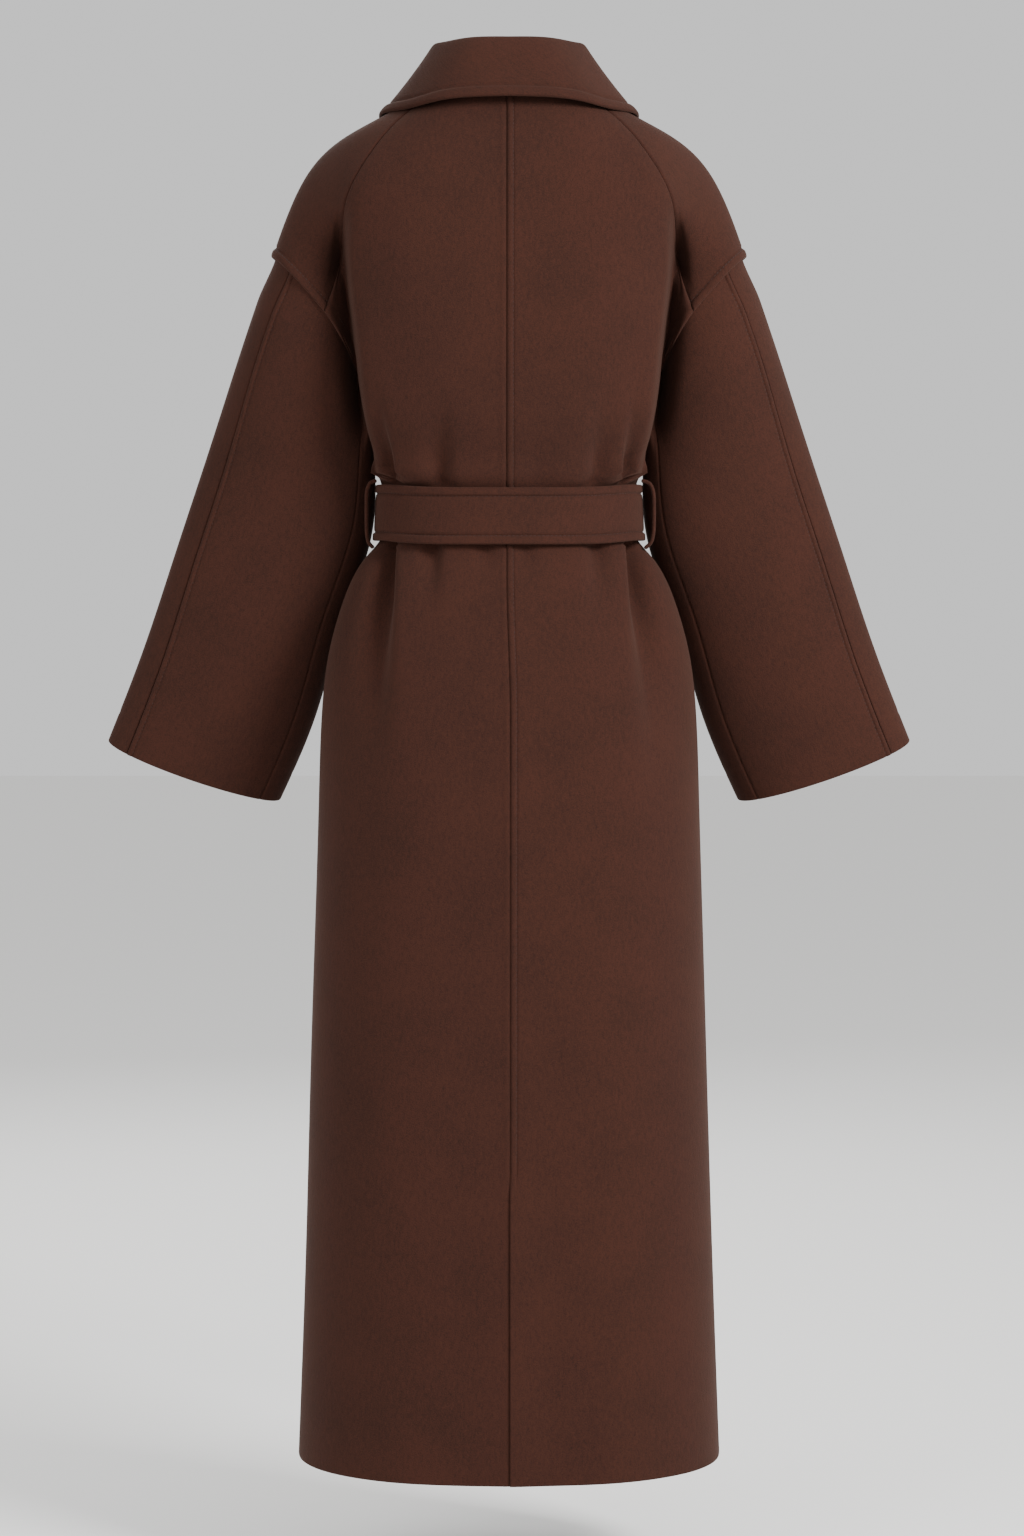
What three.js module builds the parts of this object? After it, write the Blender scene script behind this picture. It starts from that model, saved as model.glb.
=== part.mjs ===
// A belted maxi coat in thick brown wool, worn and hollow: each cut piece is one closed wall.
// Millimetres, +Z up. The front faces -Y and the wearer's left is +X. The origin is on the centre
// line at the height of the nape seam, where the wearer's shoulders and neck carry the coat.
import * as THREE from "three";

// Cloth and seams
const CLOTH = 2.4; // one layer of double-faced wool
const DOUBLED = 4; // the collar and the belt are two layers, pressed together
const SEAM_GAP = 0.4; // between two pieces that are sewn edge to edge
const SLEEVE_TUCK = 3.5; // the sleeve's start lies this far in under the armhole's raised edge

// Lengths, down from the nape
const HEM_Z = -1359;
const BELT_TOP_Z = -392.5;
const BELT_WIDTH = 55.5;
const BELT_BOTTOM_Z = BELT_TOP_Z - BELT_WIDTH;

// Front closure: edges that meet above the belt, and the right over the left below it
const EDGE_AT_BELT = 7; // each edge stops this far from the centre line
const LAP_AT_HEM = 60; // each edge passes the centre line by this much at the hem
const LAP_LIFT = 3.4; // the right front is this much further out where it laps
const ROLL_TOP_X = 64; // the lapel's roll line starts here beside the neck
const ROLL_TOP_Z = -28;
const LAPEL_LIFT = 6.4; // from the front to the outer face of the lapel that lies on it

// Armhole: a slanted loop from the tip of the dropped shoulder to the underarm
const ARMHOLE_SKEW = 0.45; // the loop is deeper near the shoulder than near the underarm
const ARMHOLE_BULGE = 17; // how far the loop's sides curve towards the neck
const RAGLAN_END = THREE.MathUtils.degToRad(78); // where the shoulder seams meet the armhole

// Body rings: half width, depth behind and depth before the side seams
const RINGS = [
  { z: HEM_Z, width: 208.5, back: 162, front: 150 },
  { z: -1150, width: 203, back: 153, front: 142 },
  { z: -900, width: 196.5, back: 145, front: 133 },
  { z: -700, width: 190, back: 137, front: 125 },
  { z: -620, width: 187, back: 132, front: 120 },
  { z: -560, width: 180, back: 124, front: 114 },
  { z: -515, width: 168, back: 113, front: 107 },
  { z: -480, width: 153.5, back: 103, front: 102 },
  { z: -462, width: 141, back: 95.5, front: 97 },
  { z: BELT_BOTTOM_Z, width: 129, back: 90, front: 94 },
  { z: -422, width: 127, back: 88.5, front: 92 },
  { z: BELT_TOP_Z, width: 127, back: 87.8, front: 92 },
];
const RING_ANGLES = [0, 22, 44, 62, 77, 90]; // from the centre to the side seam, in degrees
const RING_POWER = 2.3; // a little squarer than an ellipse

// Bodice rows below the underarm: the back folds over at its edge and turns in to the side seam
const BODICE = [
  { z: -372, back: 94, front: 104, foldX: 135.5, foldY: 50, turnX: 134, turnY: 22,
    sideX: 131, sideY: -6, frontTurnX: 127, frontTurnY: -42, frontFoldX: 118, frontFoldY: -72 },
  { z: -350, back: 101, front: 113, foldX: 139, foldY: 58, turnX: 135.5, turnY: 26,
    sideX: 130, sideY: -8, frontTurnX: 127.5, frontTurnY: -44, frontFoldX: 118.5, frontFoldY: -78 },
];

// Armhole rows: the angle round the loop, then the back's and the front's folds beside the arm
const ARMHOLE_ROWS = [
  { angle: 180, z: -330, frontZ: -338, back: 107, front: 118, foldX: 143, foldY: 68,
    turnX: 140, turnY: 32, frontTurnX: 131, frontTurnY: -44, frontFoldX: 124, frontFoldY: -80 },
  { angle: 130, z: -296, frontZ: -312, back: 112, front: 124, foldX: 147, foldY: 74,
    turnX: 147, turnY: 48, frontTurnX: 142, frontTurnY: -62, frontFoldX: 130, frontFoldY: -86 },
  { angle: 105, z: -262, frontZ: -282, back: 116, front: 127, foldX: 150, foldY: 76,
    turnX: 152, turnY: 54, frontTurnX: 150, frontTurnY: -66, frontFoldX: 134, frontFoldY: -88 },
  { angle: 78, z: -223, frontZ: -240, back: 118, front: 127, foldX: 153, foldY: 77,
    turnX: 163, turnY: 58, frontTurnX: 162, frontTurnY: -68, frontFoldX: 140, frontFoldY: -88 },
];

// Shoulder rows, up from the armhole to the neck: centre, fold, seam, quarter point and ridge.
// frontSeam is the front's own seam, and frontZ the height where the row meets the front edge.
const SHOULDER_ROWS = [
  { z: -165, back: 116.5, foldX: 157, foldY: 78, turnX: 163, turnY: 64,
    seam: [166, 50, -166], quarter: [200, 40, -142], ridge: [217, -119],
    frontZ: -195, front: 123, frontSeam: [166, -62, -172] },
  { z: -118, back: 112, foldX: 136, foldY: 93, turnX: 149, turnY: 86,
    seam: [160, 76, -119], quarter: [183, 46, -100], ridge: [196, -80],
    frontZ: -150, front: 116, frontSeam: [154, -72, -124] },
  { z: -70, back: 102, foldX: 110, foldY: 88, turnX: 124, turnY: 83,
    seam: [136, 76, -72], quarter: [152, 44, -54], ridge: [160, -48],
    frontZ: -105, front: 106, frontSeam: [134, -70, -78] },
  { z: -32, back: 88, foldX: 82, foldY: 75, turnX: 95, turnY: 70,
    seam: [106, 63, -36], quarter: [114, 36, -27], ridge: [117, -26],
    frontZ: -62, front: 92, frontSeam: [106, -58, -42] },
  { z: -2, back: 76, foldX: 52, foldY: 60, turnX: 61, turnY: 52,
    seam: [69, 43, -6], quarter: [78, 24, -5], ridge: [81, -5],
    frontZ: -28, front: 75, frontSeam: [74, -40, -12] },
];

// Sleeve sections from the armhole to the cuff: outer and inner edge, half depth and shape
const SLEEVE = [
  { at: 0, outer: [235, 0, -168], inner: [135, -8, -330], depth: 52, skew: 1, bulge: 1, drop: 0 },
  { at: 0.2, outer: [269, -14, -264], inner: [134, -22, -374], depth: 50, skew: 0.5, bulge: 0.1, drop: 2 },
  { at: 0.4, outer: [302, -34, -360], inner: [139, -38, -447], depth: 47, skew: 0, bulge: 0, drop: 4 },
  { at: 0.6, outer: [336, -49, -458], inner: [168, -51, -531], depth: 44, skew: 0, bulge: 0, drop: 6 },
  { at: 0.8, outer: [370, -62, -556], inner: [195, -63, -622], depth: 41, skew: 0, bulge: 0, drop: 8 },
  { at: 1, outer: [405, -76, -654.5], inner: [230, -76, -714.6], depth: 39, skew: 0, bulge: 0, drop: 9 },
];
const OUTER_SEAM = THREE.MathUtils.degToRad(40); // the sleeve's two seams, round its section
const INNER_SEAM = THREE.MathUtils.degToRad(141);

// Collar rows from the centre back to the front end of one side. Each row runs from the neck seam up
// the stand, over the fold and down to the outer edge.
const COLLAR = [
  [[0, 73.6, -2.3], [0, 67, 18], [0, 59.5, 33], [0, 65, 42.2], [0, 72, 35], [0, 85, 9], [0, 98.5, -18.5]],
  [[35.8, 65, -1.3], [36, 61, 18], [36, 53, 33], [38, 58.5, 42.2], [41, 66, 35],
    [51, 79, 8], [61, 91, -21]],
  [[64, 41.2, -4.6], [62, 38, 15], [60, 33, 32], [64, 33, 41], [69, 38, 34], [83, 51, 5], [101, 62, -26]],
  [[77.4, 4, -4.4], [74.5, 3, 14], [68, 2, 30], [73.5, 3, 40], [80, 4, 34],
    [101, 6, 6], [129.5, 8, -23.5]],
  [[74.6, -22, -6.2], [72.5, -24, 7], [67, -27, 20], [71, -29, 30], [79, -29, 26],
    [100, -34, -2], [130, -43, -31]],
  [[68.8, -45, -12.7], [66.5, -49, -7], [63, -52, 0], [65, -57, 8], [72, -60, 5],
    [94, -64, -22], [124, -76, -57]],
  [[59.2, -70.6, -25.8], [58.5, -74.5, -24], [57, -76, -21], [59, -81, -17], [64, -84, -19],
    [86, -87, -42], [111, -93, -78]],
];
const COLLAR_KNOTS = [0, 0.18, 0.36, 0.56, 0.7, 0.86, 1];
const PROFILE_KNOTS = [0, 0.17, 0.31, 0.42, 0.51, 0.74, 1];

// Folds that the belt makes: place across the back, width, depth, reach up or down and drift
const FOLDS = [
  { x: 115, half: 13, deep: 6, up: 60, down: 0, drift: 0.1 },
  { x: 67, half: 12, deep: 4.5, up: 42, down: 0, drift: 0.05 },
  { x: -30, half: 12, deep: 2, up: 36, down: 0, drift: 0 },
  { x: -88, half: 12, deep: 4.5, up: 48, down: 0, drift: -0.05 },
  { x: -118, half: 12, deep: 6, up: 66, down: 0, drift: -0.1 },
  { x: 119, half: 14, deep: 9, up: 0, down: 120, drift: 0.16 },
  { x: 76, half: 13, deep: 4.5, up: 0, down: 46, drift: 0.1 },
  { x: 21, half: 13, deep: 2, up: 0, down: 40, drift: 0 },
  { x: -30, half: 13, deep: 2.5, up: 0, down: 40, drift: 0 },
  { x: -90, half: 13, deep: 4.5, up: 0, down: 54, drift: -0.1 },
  { x: -122, half: 14, deep: 9, up: 0, down: 130, drift: -0.16 },
];

// Belt: its outer face as two ovals, at its top and bottom edges
const BELT = {
  top: { width: 132, back: 92.5, front: 101.5 },
  bottom: { width: 135, back: 98.5, front: 103.5 },
};
const BELT_GAP = 6; // in the band, behind the knot
const KNOT = { halfWidth: 30, halfHeight: 26.7, rim: 5, depth: 21, back: -104.4 };
const BELT_ENDS = [
  { name: "left", topX: 15, lowX: 42, lowZ: -815 },
  { name: "right", topX: -15, lowX: -46, lowZ: -770 },
];
const END_DEPTHS = {
  levels: [-900, -700, -620, -560, -515, -449],
  depths: [143, 135, 130, 123.5, 117.5, 112],
};

// Belt loops: the outer face's way down, over the belt at each side
const LOOPS = [
  { name: "left", side: 1, path: [[127.3, -387.2], [134, -387.6], [138.8, -390], [141.6, -395.5],
    [142.8, -405], [142.8, -434], [142.3, -443], [140.6, -450.5], [135.4, -456.5]] },
  { name: "right", side: -1, path: [[127.2, -387.2], [134.4, -387.6], [140.4, -390.4], [143.6, -396],
    [145.2, -406], [145.3, -432], [144.6, -442], [142.2, -450.5], [135.5, -457]] },
];
const LOOP_FROM_Y = 13;
const LOOP_TO_Y = 23;
const LOOP_THICKNESS = 3.6;

const { lerp, smoothstep, degToRad } = THREE.MathUtils;
const v3 = (x, y, z) => new THREE.Vector3(x, y, z);
const point = (xyz) => v3(...xyz);

// A natural cubic spline through values at rising knots.
function spline(knots, values) {
  const n = knots.length;
  const bend = new Array(n).fill(0);
  const weight = new Array(n).fill(0);
  for (let i = 1; i < n - 1; i++) {
    const before = knots[i] - knots[i - 1];
    const after = knots[i + 1] - knots[i];
    const slope = (values[i + 1] - values[i]) / after - (values[i] - values[i - 1]) / before;
    const pivot = 2 * (before + after) - before * weight[i - 1];
    weight[i] = after / pivot;
    bend[i] = (6 * slope - before * bend[i - 1]) / pivot;
  }
  for (let i = n - 2; i > 0; i--) bend[i] -= weight[i] * bend[i + 1];
  return (t) => {
    let i = 0;
    while (i < n - 2 && t > knots[i + 1]) i++;
    const span = knots[i + 1] - knots[i];
    const a = (knots[i + 1] - t) / span;
    const b = (t - knots[i]) / span;
    const curve = ((a ** 3 - a) * bend[i] + (b ** 3 - b) * bend[i + 1]) * (span * span) / 6;
    return a * values[i] + b * values[i + 1] + curve;
  };
}

// The same through points.
function splineThrough(knots, points) {
  const [x, y, z] = ["x", "y", "z"].map((axis) => spline(knots, points.map((p) => p[axis])));
  return (t) => v3(x(t), y(t), z(t));
}

// A smooth surface through a net of points. The last column can be a curve of its own.
function netSurface(rowKnots, columnKnots, rows, edge) {
  const columns = columnKnots.map((_, j) => splineThrough(rowKnots, rows.map((row) => row[j])));
  if (edge) columns[columns.length - 1] = edge;
  return (u, v) => splineThrough(columnKnots, columns.map((column) => column(v)))(u);
}

// The sleeve: angle 0 along its outer edge, pi along its inner edge and positive angles behind.
const SLEEVE_KNOTS = SLEEVE.map((row) => row.at);
const sleeveOuter = splineThrough(SLEEVE_KNOTS, SLEEVE.map((row) => point(row.outer)));
const sleeveInner = splineThrough(SLEEVE_KNOTS, SLEEVE.map((row) => point(row.inner)));
const [sleeveDepth, sleeveSkew, sleeveBulge, sleeveDrop] = ["depth", "skew", "bulge", "drop"].map(
  (key) => spline(SLEEVE_KNOTS, SLEEVE.map((row) => row[key])));
function sleeveBase(angle, at) {
  const outer = sleeveOuter(at);
  const inner = sleeveInner(at);
  const along = outer.clone().sub(inner);
  const neckward = v3(-along.z, 0, along.x).normalize();
  const skew = 1 + ARMHOLE_SKEW * sleeveSkew(at) * Math.cos(angle);
  return outer
    .add(inner)
    .multiplyScalar(0.5)
    .addScaledVector(along, Math.cos(angle) / 2)
    .addScaledVector(neckward, ARMHOLE_BULGE * sleeveBulge(at) * Math.sin(angle) ** 2)
    .add(v3(0, sleeveDepth(at) * skew * Math.sin(angle), -sleeveDrop(at) * Math.sin(angle)));
}
const armhole = (angle) => sleeveBase(angle, 0);

// Levels of the body's rows, and the armhole's and shoulder seam's curve along them
const ALL_ROWS = [...RINGS, ...BODICE, ...ARMHOLE_ROWS, ...SHOULDER_ROWS];
const LEVELS = ALL_ROWS.map((row) => row.z);
const ARM_LEVEL = ARMHOLE_ROWS[0].z;
const SEAM_LEVEL = ARMHOLE_ROWS[3].z;
const NECK_LEVEL = SHOULDER_ROWS[4].z;
const armAngle = spline(ARMHOLE_ROWS.map((r) => r.z), ARMHOLE_ROWS.map((r) => degToRad(r.angle)));
const sideRings = RINGS.map((r) => v3(r.width, 0, r.z));
const sideRows = [...sideRings, ...BODICE.map((r) => v3(r.sideX, r.sideY, r.z)), armhole(Math.PI)];
const sideSeam = splineThrough(LEVELS.slice(0, sideRows.length), sideRows);
const SEAM_LEVELS = [SEAM_LEVEL, ...SHOULDER_ROWS.map((r) => r.z)];
function panelEdge(facing, seams) {
  const seam = splineThrough(SEAM_LEVELS, [armhole(facing * RAGLAN_END), ...seams.map(point)]);
  return (level) => {
    if (level <= ARM_LEVEL) return sideSeam(level);
    return level < SEAM_LEVEL ? armhole(facing * armAngle(level)) : seam(level);
  };
}
const backEdge = panelEdge(1, SHOULDER_ROWS.map((r) => r.seam));
const frontSideEdge = panelEdge(-1, SHOULDER_ROWS.map((r) => r.frontSeam));

const COLUMN_KNOTS = [0, 0.25, 0.5, 0.7, 0.85, 1];

// Half an oval ring: its depth at a distance from the centre line.
const ringWidth = spline(RINGS.map((r) => r.z), RINGS.map((r) => r.width));
const ringFront = spline(RINGS.map((r) => r.z), RINGS.map((r) => r.front));
const ovalDepth = (x, width, depth) =>
  depth * Math.max(0, 1 - Math.abs(x / width) ** RING_POWER) ** (1 / RING_POWER);
const ringX = (ring, angle) => ring.width * Math.sin(degToRad(angle)) ** (2 / RING_POWER);

// The back of the left half, from the centre seam to the side, armhole or shoulder seam.
function arcRow(start, fold, turn) {
  const shares = [[0, 0], [0.4745, 0.132], [0.812, 0.517], [1, 1]];
  const arc = shares.map(([across, rise]) =>
    v3(lerp(start.x, fold.x, across), lerp(start.y, fold.y, rise), lerp(start.z, fold.z, across)));
  return [...arc, turn, turn];
}
function backRows() {
  const rings = RINGS.map((ring) =>
    RING_ANGLES.map((angle) => {
      const x = ringX(ring, angle);
      return v3(x, ovalDepth(x, ring.width, ring.back), ring.z);
    }));
  const others = [...BODICE, ...ARMHOLE_ROWS, ...SHOULDER_ROWS].map((r) => {
    const turnZ = r.seam ? lerp(r.z, r.seam[2], 0.6) : r.z;
    return arcRow(v3(0, r.back, r.z), v3(r.foldX, r.foldY, r.z), v3(r.turnX, r.turnY, turnZ));
  });
  return [...rings, ...others];
}
const backBase = netSurface(LEVELS, COLUMN_KNOTS, backRows(), backEdge);

// The front edge of the left half: down the roll line to the belt, then past the centre line.
function frontEdgeX(z) {
  if (z > -385) return lerp(EDGE_AT_BELT, ROLL_TOP_X, ((z + 385) / (ROLL_TOP_Z + 385)) ** 1.15);
  return lerp(EDGE_AT_BELT, -LAP_AT_HEM, Math.sqrt(Math.max(0, (z + 440) / (HEM_Z + 440))));
}

// The front of the left half, from its own edge to the side, armhole or shoulder seam.
function frontRows() {
  const rings = RINGS.map((ring) => {
    const edge = frontEdgeX(ring.z);
    const fold = ringX(ring, RING_ANGLES[3]);
    const across = [edge, lerp(edge, fold, 0.36), lerp(edge, fold, 0.7)];
    const rest = RING_ANGLES.slice(3).map((angle) => ringX(ring, angle));
    return [...across, ...rest].map((x) => v3(x, -ovalDepth(x, ring.width, ring.front), ring.z));
  });
  const chest = [...BODICE, ...ARMHOLE_ROWS].map((r) => {
    const z = r.frontZ ?? r.z;
    const fold = v3(r.frontFoldX, r.frontFoldY, r.z);
    return arcRow(v3(frontEdgeX(z), -r.front, z), fold, v3(r.frontTurnX, r.frontTurnY, r.z));
  });
  const shoulder = SHOULDER_ROWS.map((r) => {
    const start = v3(frontEdgeX(r.frontZ), -r.front, r.frontZ);
    const end = point(r.frontSeam);
    return [0, 0.25, 0.5, 0.7, 0.85, 1].map((share) => {
      const p = start.clone().lerp(end, share);
      p.y -= 0.1 * start.distanceTo(end) * Math.sin(Math.PI * share);
      return p;
    });
  });
  return [...rings, ...chest, ...shoulder];
}
const frontBase = netSurface(LEVELS, COLUMN_KNOTS, frontRows(), frontSideEdge);

// The shoulder piece of the left half: from the back seam over the ridge to the front seam.
const SADDLE_KNOTS = [-1, -0.5, 0, 0.5, 1];
const saddleLine = (share, pick) =>
  splineThrough(SEAM_LEVELS, [armhole(RAGLAN_END * share), ...SHOULDER_ROWS.map(pick)]);
const saddleLines = [
  backEdge,
  saddleLine(0.5, (r) => point(r.quarter)),
  saddleLine(0, (r) => v3(r.ridge[0], 0, r.ridge[1])),
  saddleLine(-0.5, (r) => v3(r.quarter[0], -r.quarter[1], r.quarter[2] - 2)),
  frontSideEdge,
];
const shoulderBase = (u, level) =>
  splineThrough(SADDLE_KNOTS, saddleLines.map((line) => line(level)))(u);

const collarBase = netSurface(COLLAR_KNOTS, PROFILE_KNOTS, COLLAR.map((row) => row.map(point)));

// How far the folds that run up and down from the belt push the cloth in at a point.
function foldDepth(x, z) {
  return FOLDS.reduce((sum, f) => {
    const away = f.up ? z - BELT_TOP_Z : BELT_BOTTOM_Z - z;
    const reach = f.up || f.down;
    const fade = smoothstep(away, -10, 8) * Math.exp(-1.6 * (Math.max(0, away) / reach) ** 2);
    const across = (x - f.x - f.drift * Math.max(0, away)) / f.half;
    return sum + f.deep * fade * Math.exp(-across * across);
  }, 0);
}

// The folds move a body point in towards the middle of the coat, but leave the sides where they are.
function folded(p) {
  const inward = v3(-0.3 * p.x, -p.y, 0).normalize();
  return p.addScaledVector(inward, foldDepth(p.x, p.z) * smoothstep(Math.abs(p.y), 5, 40));
}

// Panels of either side: the left half's surface, or its mirror image, with folds and the lap.
const mirror = (p, side) => v3(p.x * side, p.y, p.z);
const panels = {
  back: (side) => (u, v) => folded(mirror(backBase(u, v), side)),
  front: (side) => (u, v) => {
    const p = mirror(frontBase(u, v), side);
    const oval = -ovalDepth(p.x, ringWidth(p.z), ringFront(p.z));
    const near = smoothstep(-p.z, 372, 400) * (1 - smoothstep(Math.abs(p.x) / ringWidth(p.z), 0.55, 0.8));
    p.y = lerp(p.y, oval, near);
    folded(p);
    const lift = LAP_LIFT * smoothstep(p.x, -115, -65) * smoothstep(-p.z, 395, 440);
    if (side < 0) p.y -= lift;
    return p;
  },
  shoulder: (side) => (u, v) => mirror(shoulderBase(u, v), side),
  sleeve: (side) => (u, v) => mirror(sleeveBase(u, v), side),
};
const OUTWARD = { back: -1, front: 1, shoulder: -1, sleeve: -1 };
const STEP = { back: [1e-3, 0.5], front: [1e-3, 0.5], shoulder: [1e-3, 0.5], sleeve: [1e-3, 1e-3] };

// The outward normal of a surface, from two short steps on it.
function normalOf(surface, u, v, [stepU, stepV], out) {
  const du = surface(u + stepU, v).sub(surface(u - stepU, v));
  const dv = surface(u, v + stepV).sub(surface(u, v - stepV));
  return du.cross(dv).normalize().multiplyScalar(out);
}
const panelNormal = (kind, side, u, v) =>
  normalOf(panels[kind](side), u, v, STEP[kind], OUTWARD[kind] * side);

// Two pieces that share a seam use the mean of their normals there, so that their walls meet.
function shared(own, other) {
  return other ? own.add(other).normalize() : own;
}

// A closed wall between an outer grid and the same grid moved in, with a rim round both.
function wallBetween(outer, inner, columns, rows, out) {
  const index = [];
  const id = (i, j) => j * (columns + 1) + i;
  const quad = (a, b, c, d) => index.push(...(out > 0 ? [a, b, c, a, c, d] : [a, c, b, a, d, c]));
  for (let j = 0; j < rows; j++)
    for (let i = 0; i < columns; i++) {
      const corners = [id(i, j), id(i + 1, j), id(i + 1, j + 1), id(i, j + 1)];
      quad(...corners);
      quad(...corners.map((k) => k + outer.length).reverse());
    }
  const rim = [];
  for (let i = 0; i < columns; i++) rim.push([id(i, 0), id(i + 1, 0)]);
  for (let j = 0; j < rows; j++) rim.push([id(columns, j), id(columns, j + 1)]);
  for (let i = columns; i > 0; i--) rim.push([id(i, rows), id(i - 1, rows)]);
  for (let j = rows; j > 0; j--) rim.push([id(0, j), id(0, j - 1)]);
  for (const [a, b] of rim) quad(b, a, a + outer.length, b + outer.length);
  const geometry = new THREE.BufferGeometry();
  const positions = [...outer, ...inner].flatMap((p) => [p.x, p.y, p.z]);
  geometry.setAttribute("position", new THREE.Float32BufferAttribute(positions, 3));
  geometry.setIndex(index);
  geometry.computeVertexNormals();
  return geometry;
}

// The same from a surface. place(i, j) gives a grid point's own coordinates on it.
function wall({ surface, normal, place, columns, rows, thickness = CLOTH, out }) {
  const outer = [];
  const inner = [];
  for (let j = 0; j <= rows; j++)
    for (let i = 0; i <= columns; i++) {
      const [u, v] = place(i / columns, j / rows);
      const p = surface(u, v);
      outer.push(p);
      inner.push(p.clone().addScaledVector(normal(u, v, i / columns, j / rows), -thickness));
    }
  return wallBetween(outer, inner, columns, rows, out);
}

const coat = new THREE.Group();
function add(name, geometry, color = 0x4a2d25) {
  const material = new THREE.MeshStandardMaterial({ color, roughness: 0.95, metalness: 0 });
  const mesh = new THREE.Mesh(geometry, material);
  mesh.name = name;
  coat.add(mesh);
}

// Rows are close together round the waist and wide apart down the skirt. Those above the armhole
// are the shoulder piece's own rows too, so that the seam has the same points on both sides.
const LOWER_LEVELS = [
  HEM_Z, -1289, -1218, -1147, -1075, -1003, -932, -862, -797, -737, -682, -632, -586, -546, -514,
  -488, -467, -449.5, -431, -411, -391, -371, -353, -325, -292, -258, SEAM_LEVEL,
];
const LOWER_ROWS = LOWER_LEVELS.length - 1;
const UPPER_ROWS = 9;
const lowerLevel = spline(LOWER_LEVELS.map((_, j) => j / LOWER_ROWS), LOWER_LEVELS);
const upperLevel = (share) => lerp(SEAM_LEVEL, NECK_LEVEL, share);
function levelAt(share) {
  const row = share * (LOWER_ROWS + UPPER_ROWS);
  return row <= LOWER_ROWS ? lowerLevel(row / LOWER_ROWS) : upperLevel((row - LOWER_ROWS) / UPPER_ROWS);
}

// Back: from the nape to the hem.
function backPanel(side) {
  const normal = (u, v, i) => {
    const own = panelNormal("back", side, u, v);
    if (i === 0) return own.setX(0).normalize();
    if (i < 1) return own;
    if (v >= SEAM_LEVEL) return shared(own, panelNormal("shoulder", side, -1, v));
    return v <= ARM_LEVEL ? shared(own, panelNormal("front", side, 1, v)) : own;
  };
  const place = (i, j) => [lerp(0.0015, 0.9985, i), levelAt(j)];
  const rows = LOWER_ROWS + UPPER_ROWS;
  return wall({ surface: panels.back(side), normal, place, columns: 14, rows, out: -side });
}

// Front: from the shoulder seam to the hem, open down the centre.
function frontPanel(side) {
  const normal = (u, v, i) => {
    const own = panelNormal("front", side, u, v);
    if (i < 1) return own;
    if (v >= SEAM_LEVEL) return shared(own, panelNormal("shoulder", side, 1, v));
    return v <= ARM_LEVEL ? shared(own, panelNormal("back", side, 1, v)) : own;
  };
  const place = (i, j) => [lerp(0, 0.9985, i), levelAt(j)];
  const rows = LOWER_ROWS + UPPER_ROWS;
  return wall({ surface: panels.front(side), normal, place, columns: 12, rows, out: side });
}

// Shoulder: the yoke-like piece over the top of the shoulder.
function shoulderPiece(side) {
  const normal = (u, v, i) => {
    const own = panelNormal("shoulder", side, u, v);
    if (i === 0) return shared(own, panelNormal("back", side, 1, v));
    return i === 1 ? shared(own, panelNormal("front", side, 1, v)) : own;
  };
  const place = (i, j) => [lerp(-0.996, 0.996, i), j ? upperLevel(j) : SEAM_LEVEL + 0.1];
  return wall({ surface: panels.shoulder(side), normal, place, columns: 10, rows: UPPER_ROWS, out: -side });
}

// The body's normal along the armhole, at an angle round it.
const armholeRows = [...ARMHOLE_ROWS].reverse();
const armLevel = spline(armholeRows.map((r) => degToRad(r.angle)), armholeRows.map((r) => r.z));
function armholeNormal(side, angle) {
  const turn = angle > Math.PI ? angle - 2 * Math.PI : angle;
  const size = Math.abs(turn);
  if (size <= RAGLAN_END) return panelNormal("shoulder", side, -turn / RAGLAN_END, SEAM_LEVEL + 0.6);
  return panelNormal(turn > 0 ? "back" : "front", side, 1, armLevel(size));
}

// The way in from the armhole's edge to the start of the sleeve. It is clear of both walls where
// they bend away from each other, and square to the sleeve in the fold of the underarm.
function sleeveTuck(side, angle) {
  const sleeveWay = panelNormal("sleeve", side, angle, 0.002);
  const bodyWay = armholeNormal(side, angle);
  const bend = sleeveWay.dot(bodyWay);
  const share = smoothstep(bend, 0, 0.5);
  return sleeveWay.addScaledVector(bodyWay, share).multiplyScalar(-SLEEVE_TUCK / (1 + share * bend));
}

// Sleeve: the under piece lies between the two seams behind, the upper piece goes round the rest.
function sleevePiece(side, from, to, columns) {
  const surface = (u, v) => {
    const tuck = sleeveTuck(side, u).multiplyScalar(1 - smoothstep(v, 0, 0.09));
    return panels.sleeve(side)(u, v).add(tuck);
  };
  const normal = (u, v) => panelNormal("sleeve", side, u, v);
  const gap = SEAM_GAP / 110;
  const place = (i, j) => [lerp(from + gap, to - gap, i), lerp(0.004, 1, j ** 1.2)];
  return wall({ surface, normal, place, columns, rows: 11, out: -side });
}

// Collar: one doubled piece from the neck seam over the fold to its outer edge.
function collar() {
  const surface = (u, v) => {
    const p = collarBase(v, Math.abs(u));
    return v3(u < 0 ? -p.x : p.x, p.y, p.z);
  };
  const normal = (u, v) => {
    const n = normalOf(surface, u, v, [1e-3, 1e-3], 1);
    return Math.abs(u) < 1e-9 ? n.setX(0).normalize() : n;
  };
  const place = (i, j) => [lerp(-1, 1, i), profileAt(j)];
  return wall({ surface, normal, place, columns: 28, rows: 12, thickness: DOUBLED, out: 1 });
}
const profileAt = spline([0, 0.25, 0.42, 0.58, 0.8, 1], [0, 0.27, 0.4, 0.53, 0.78, 1]);

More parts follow.
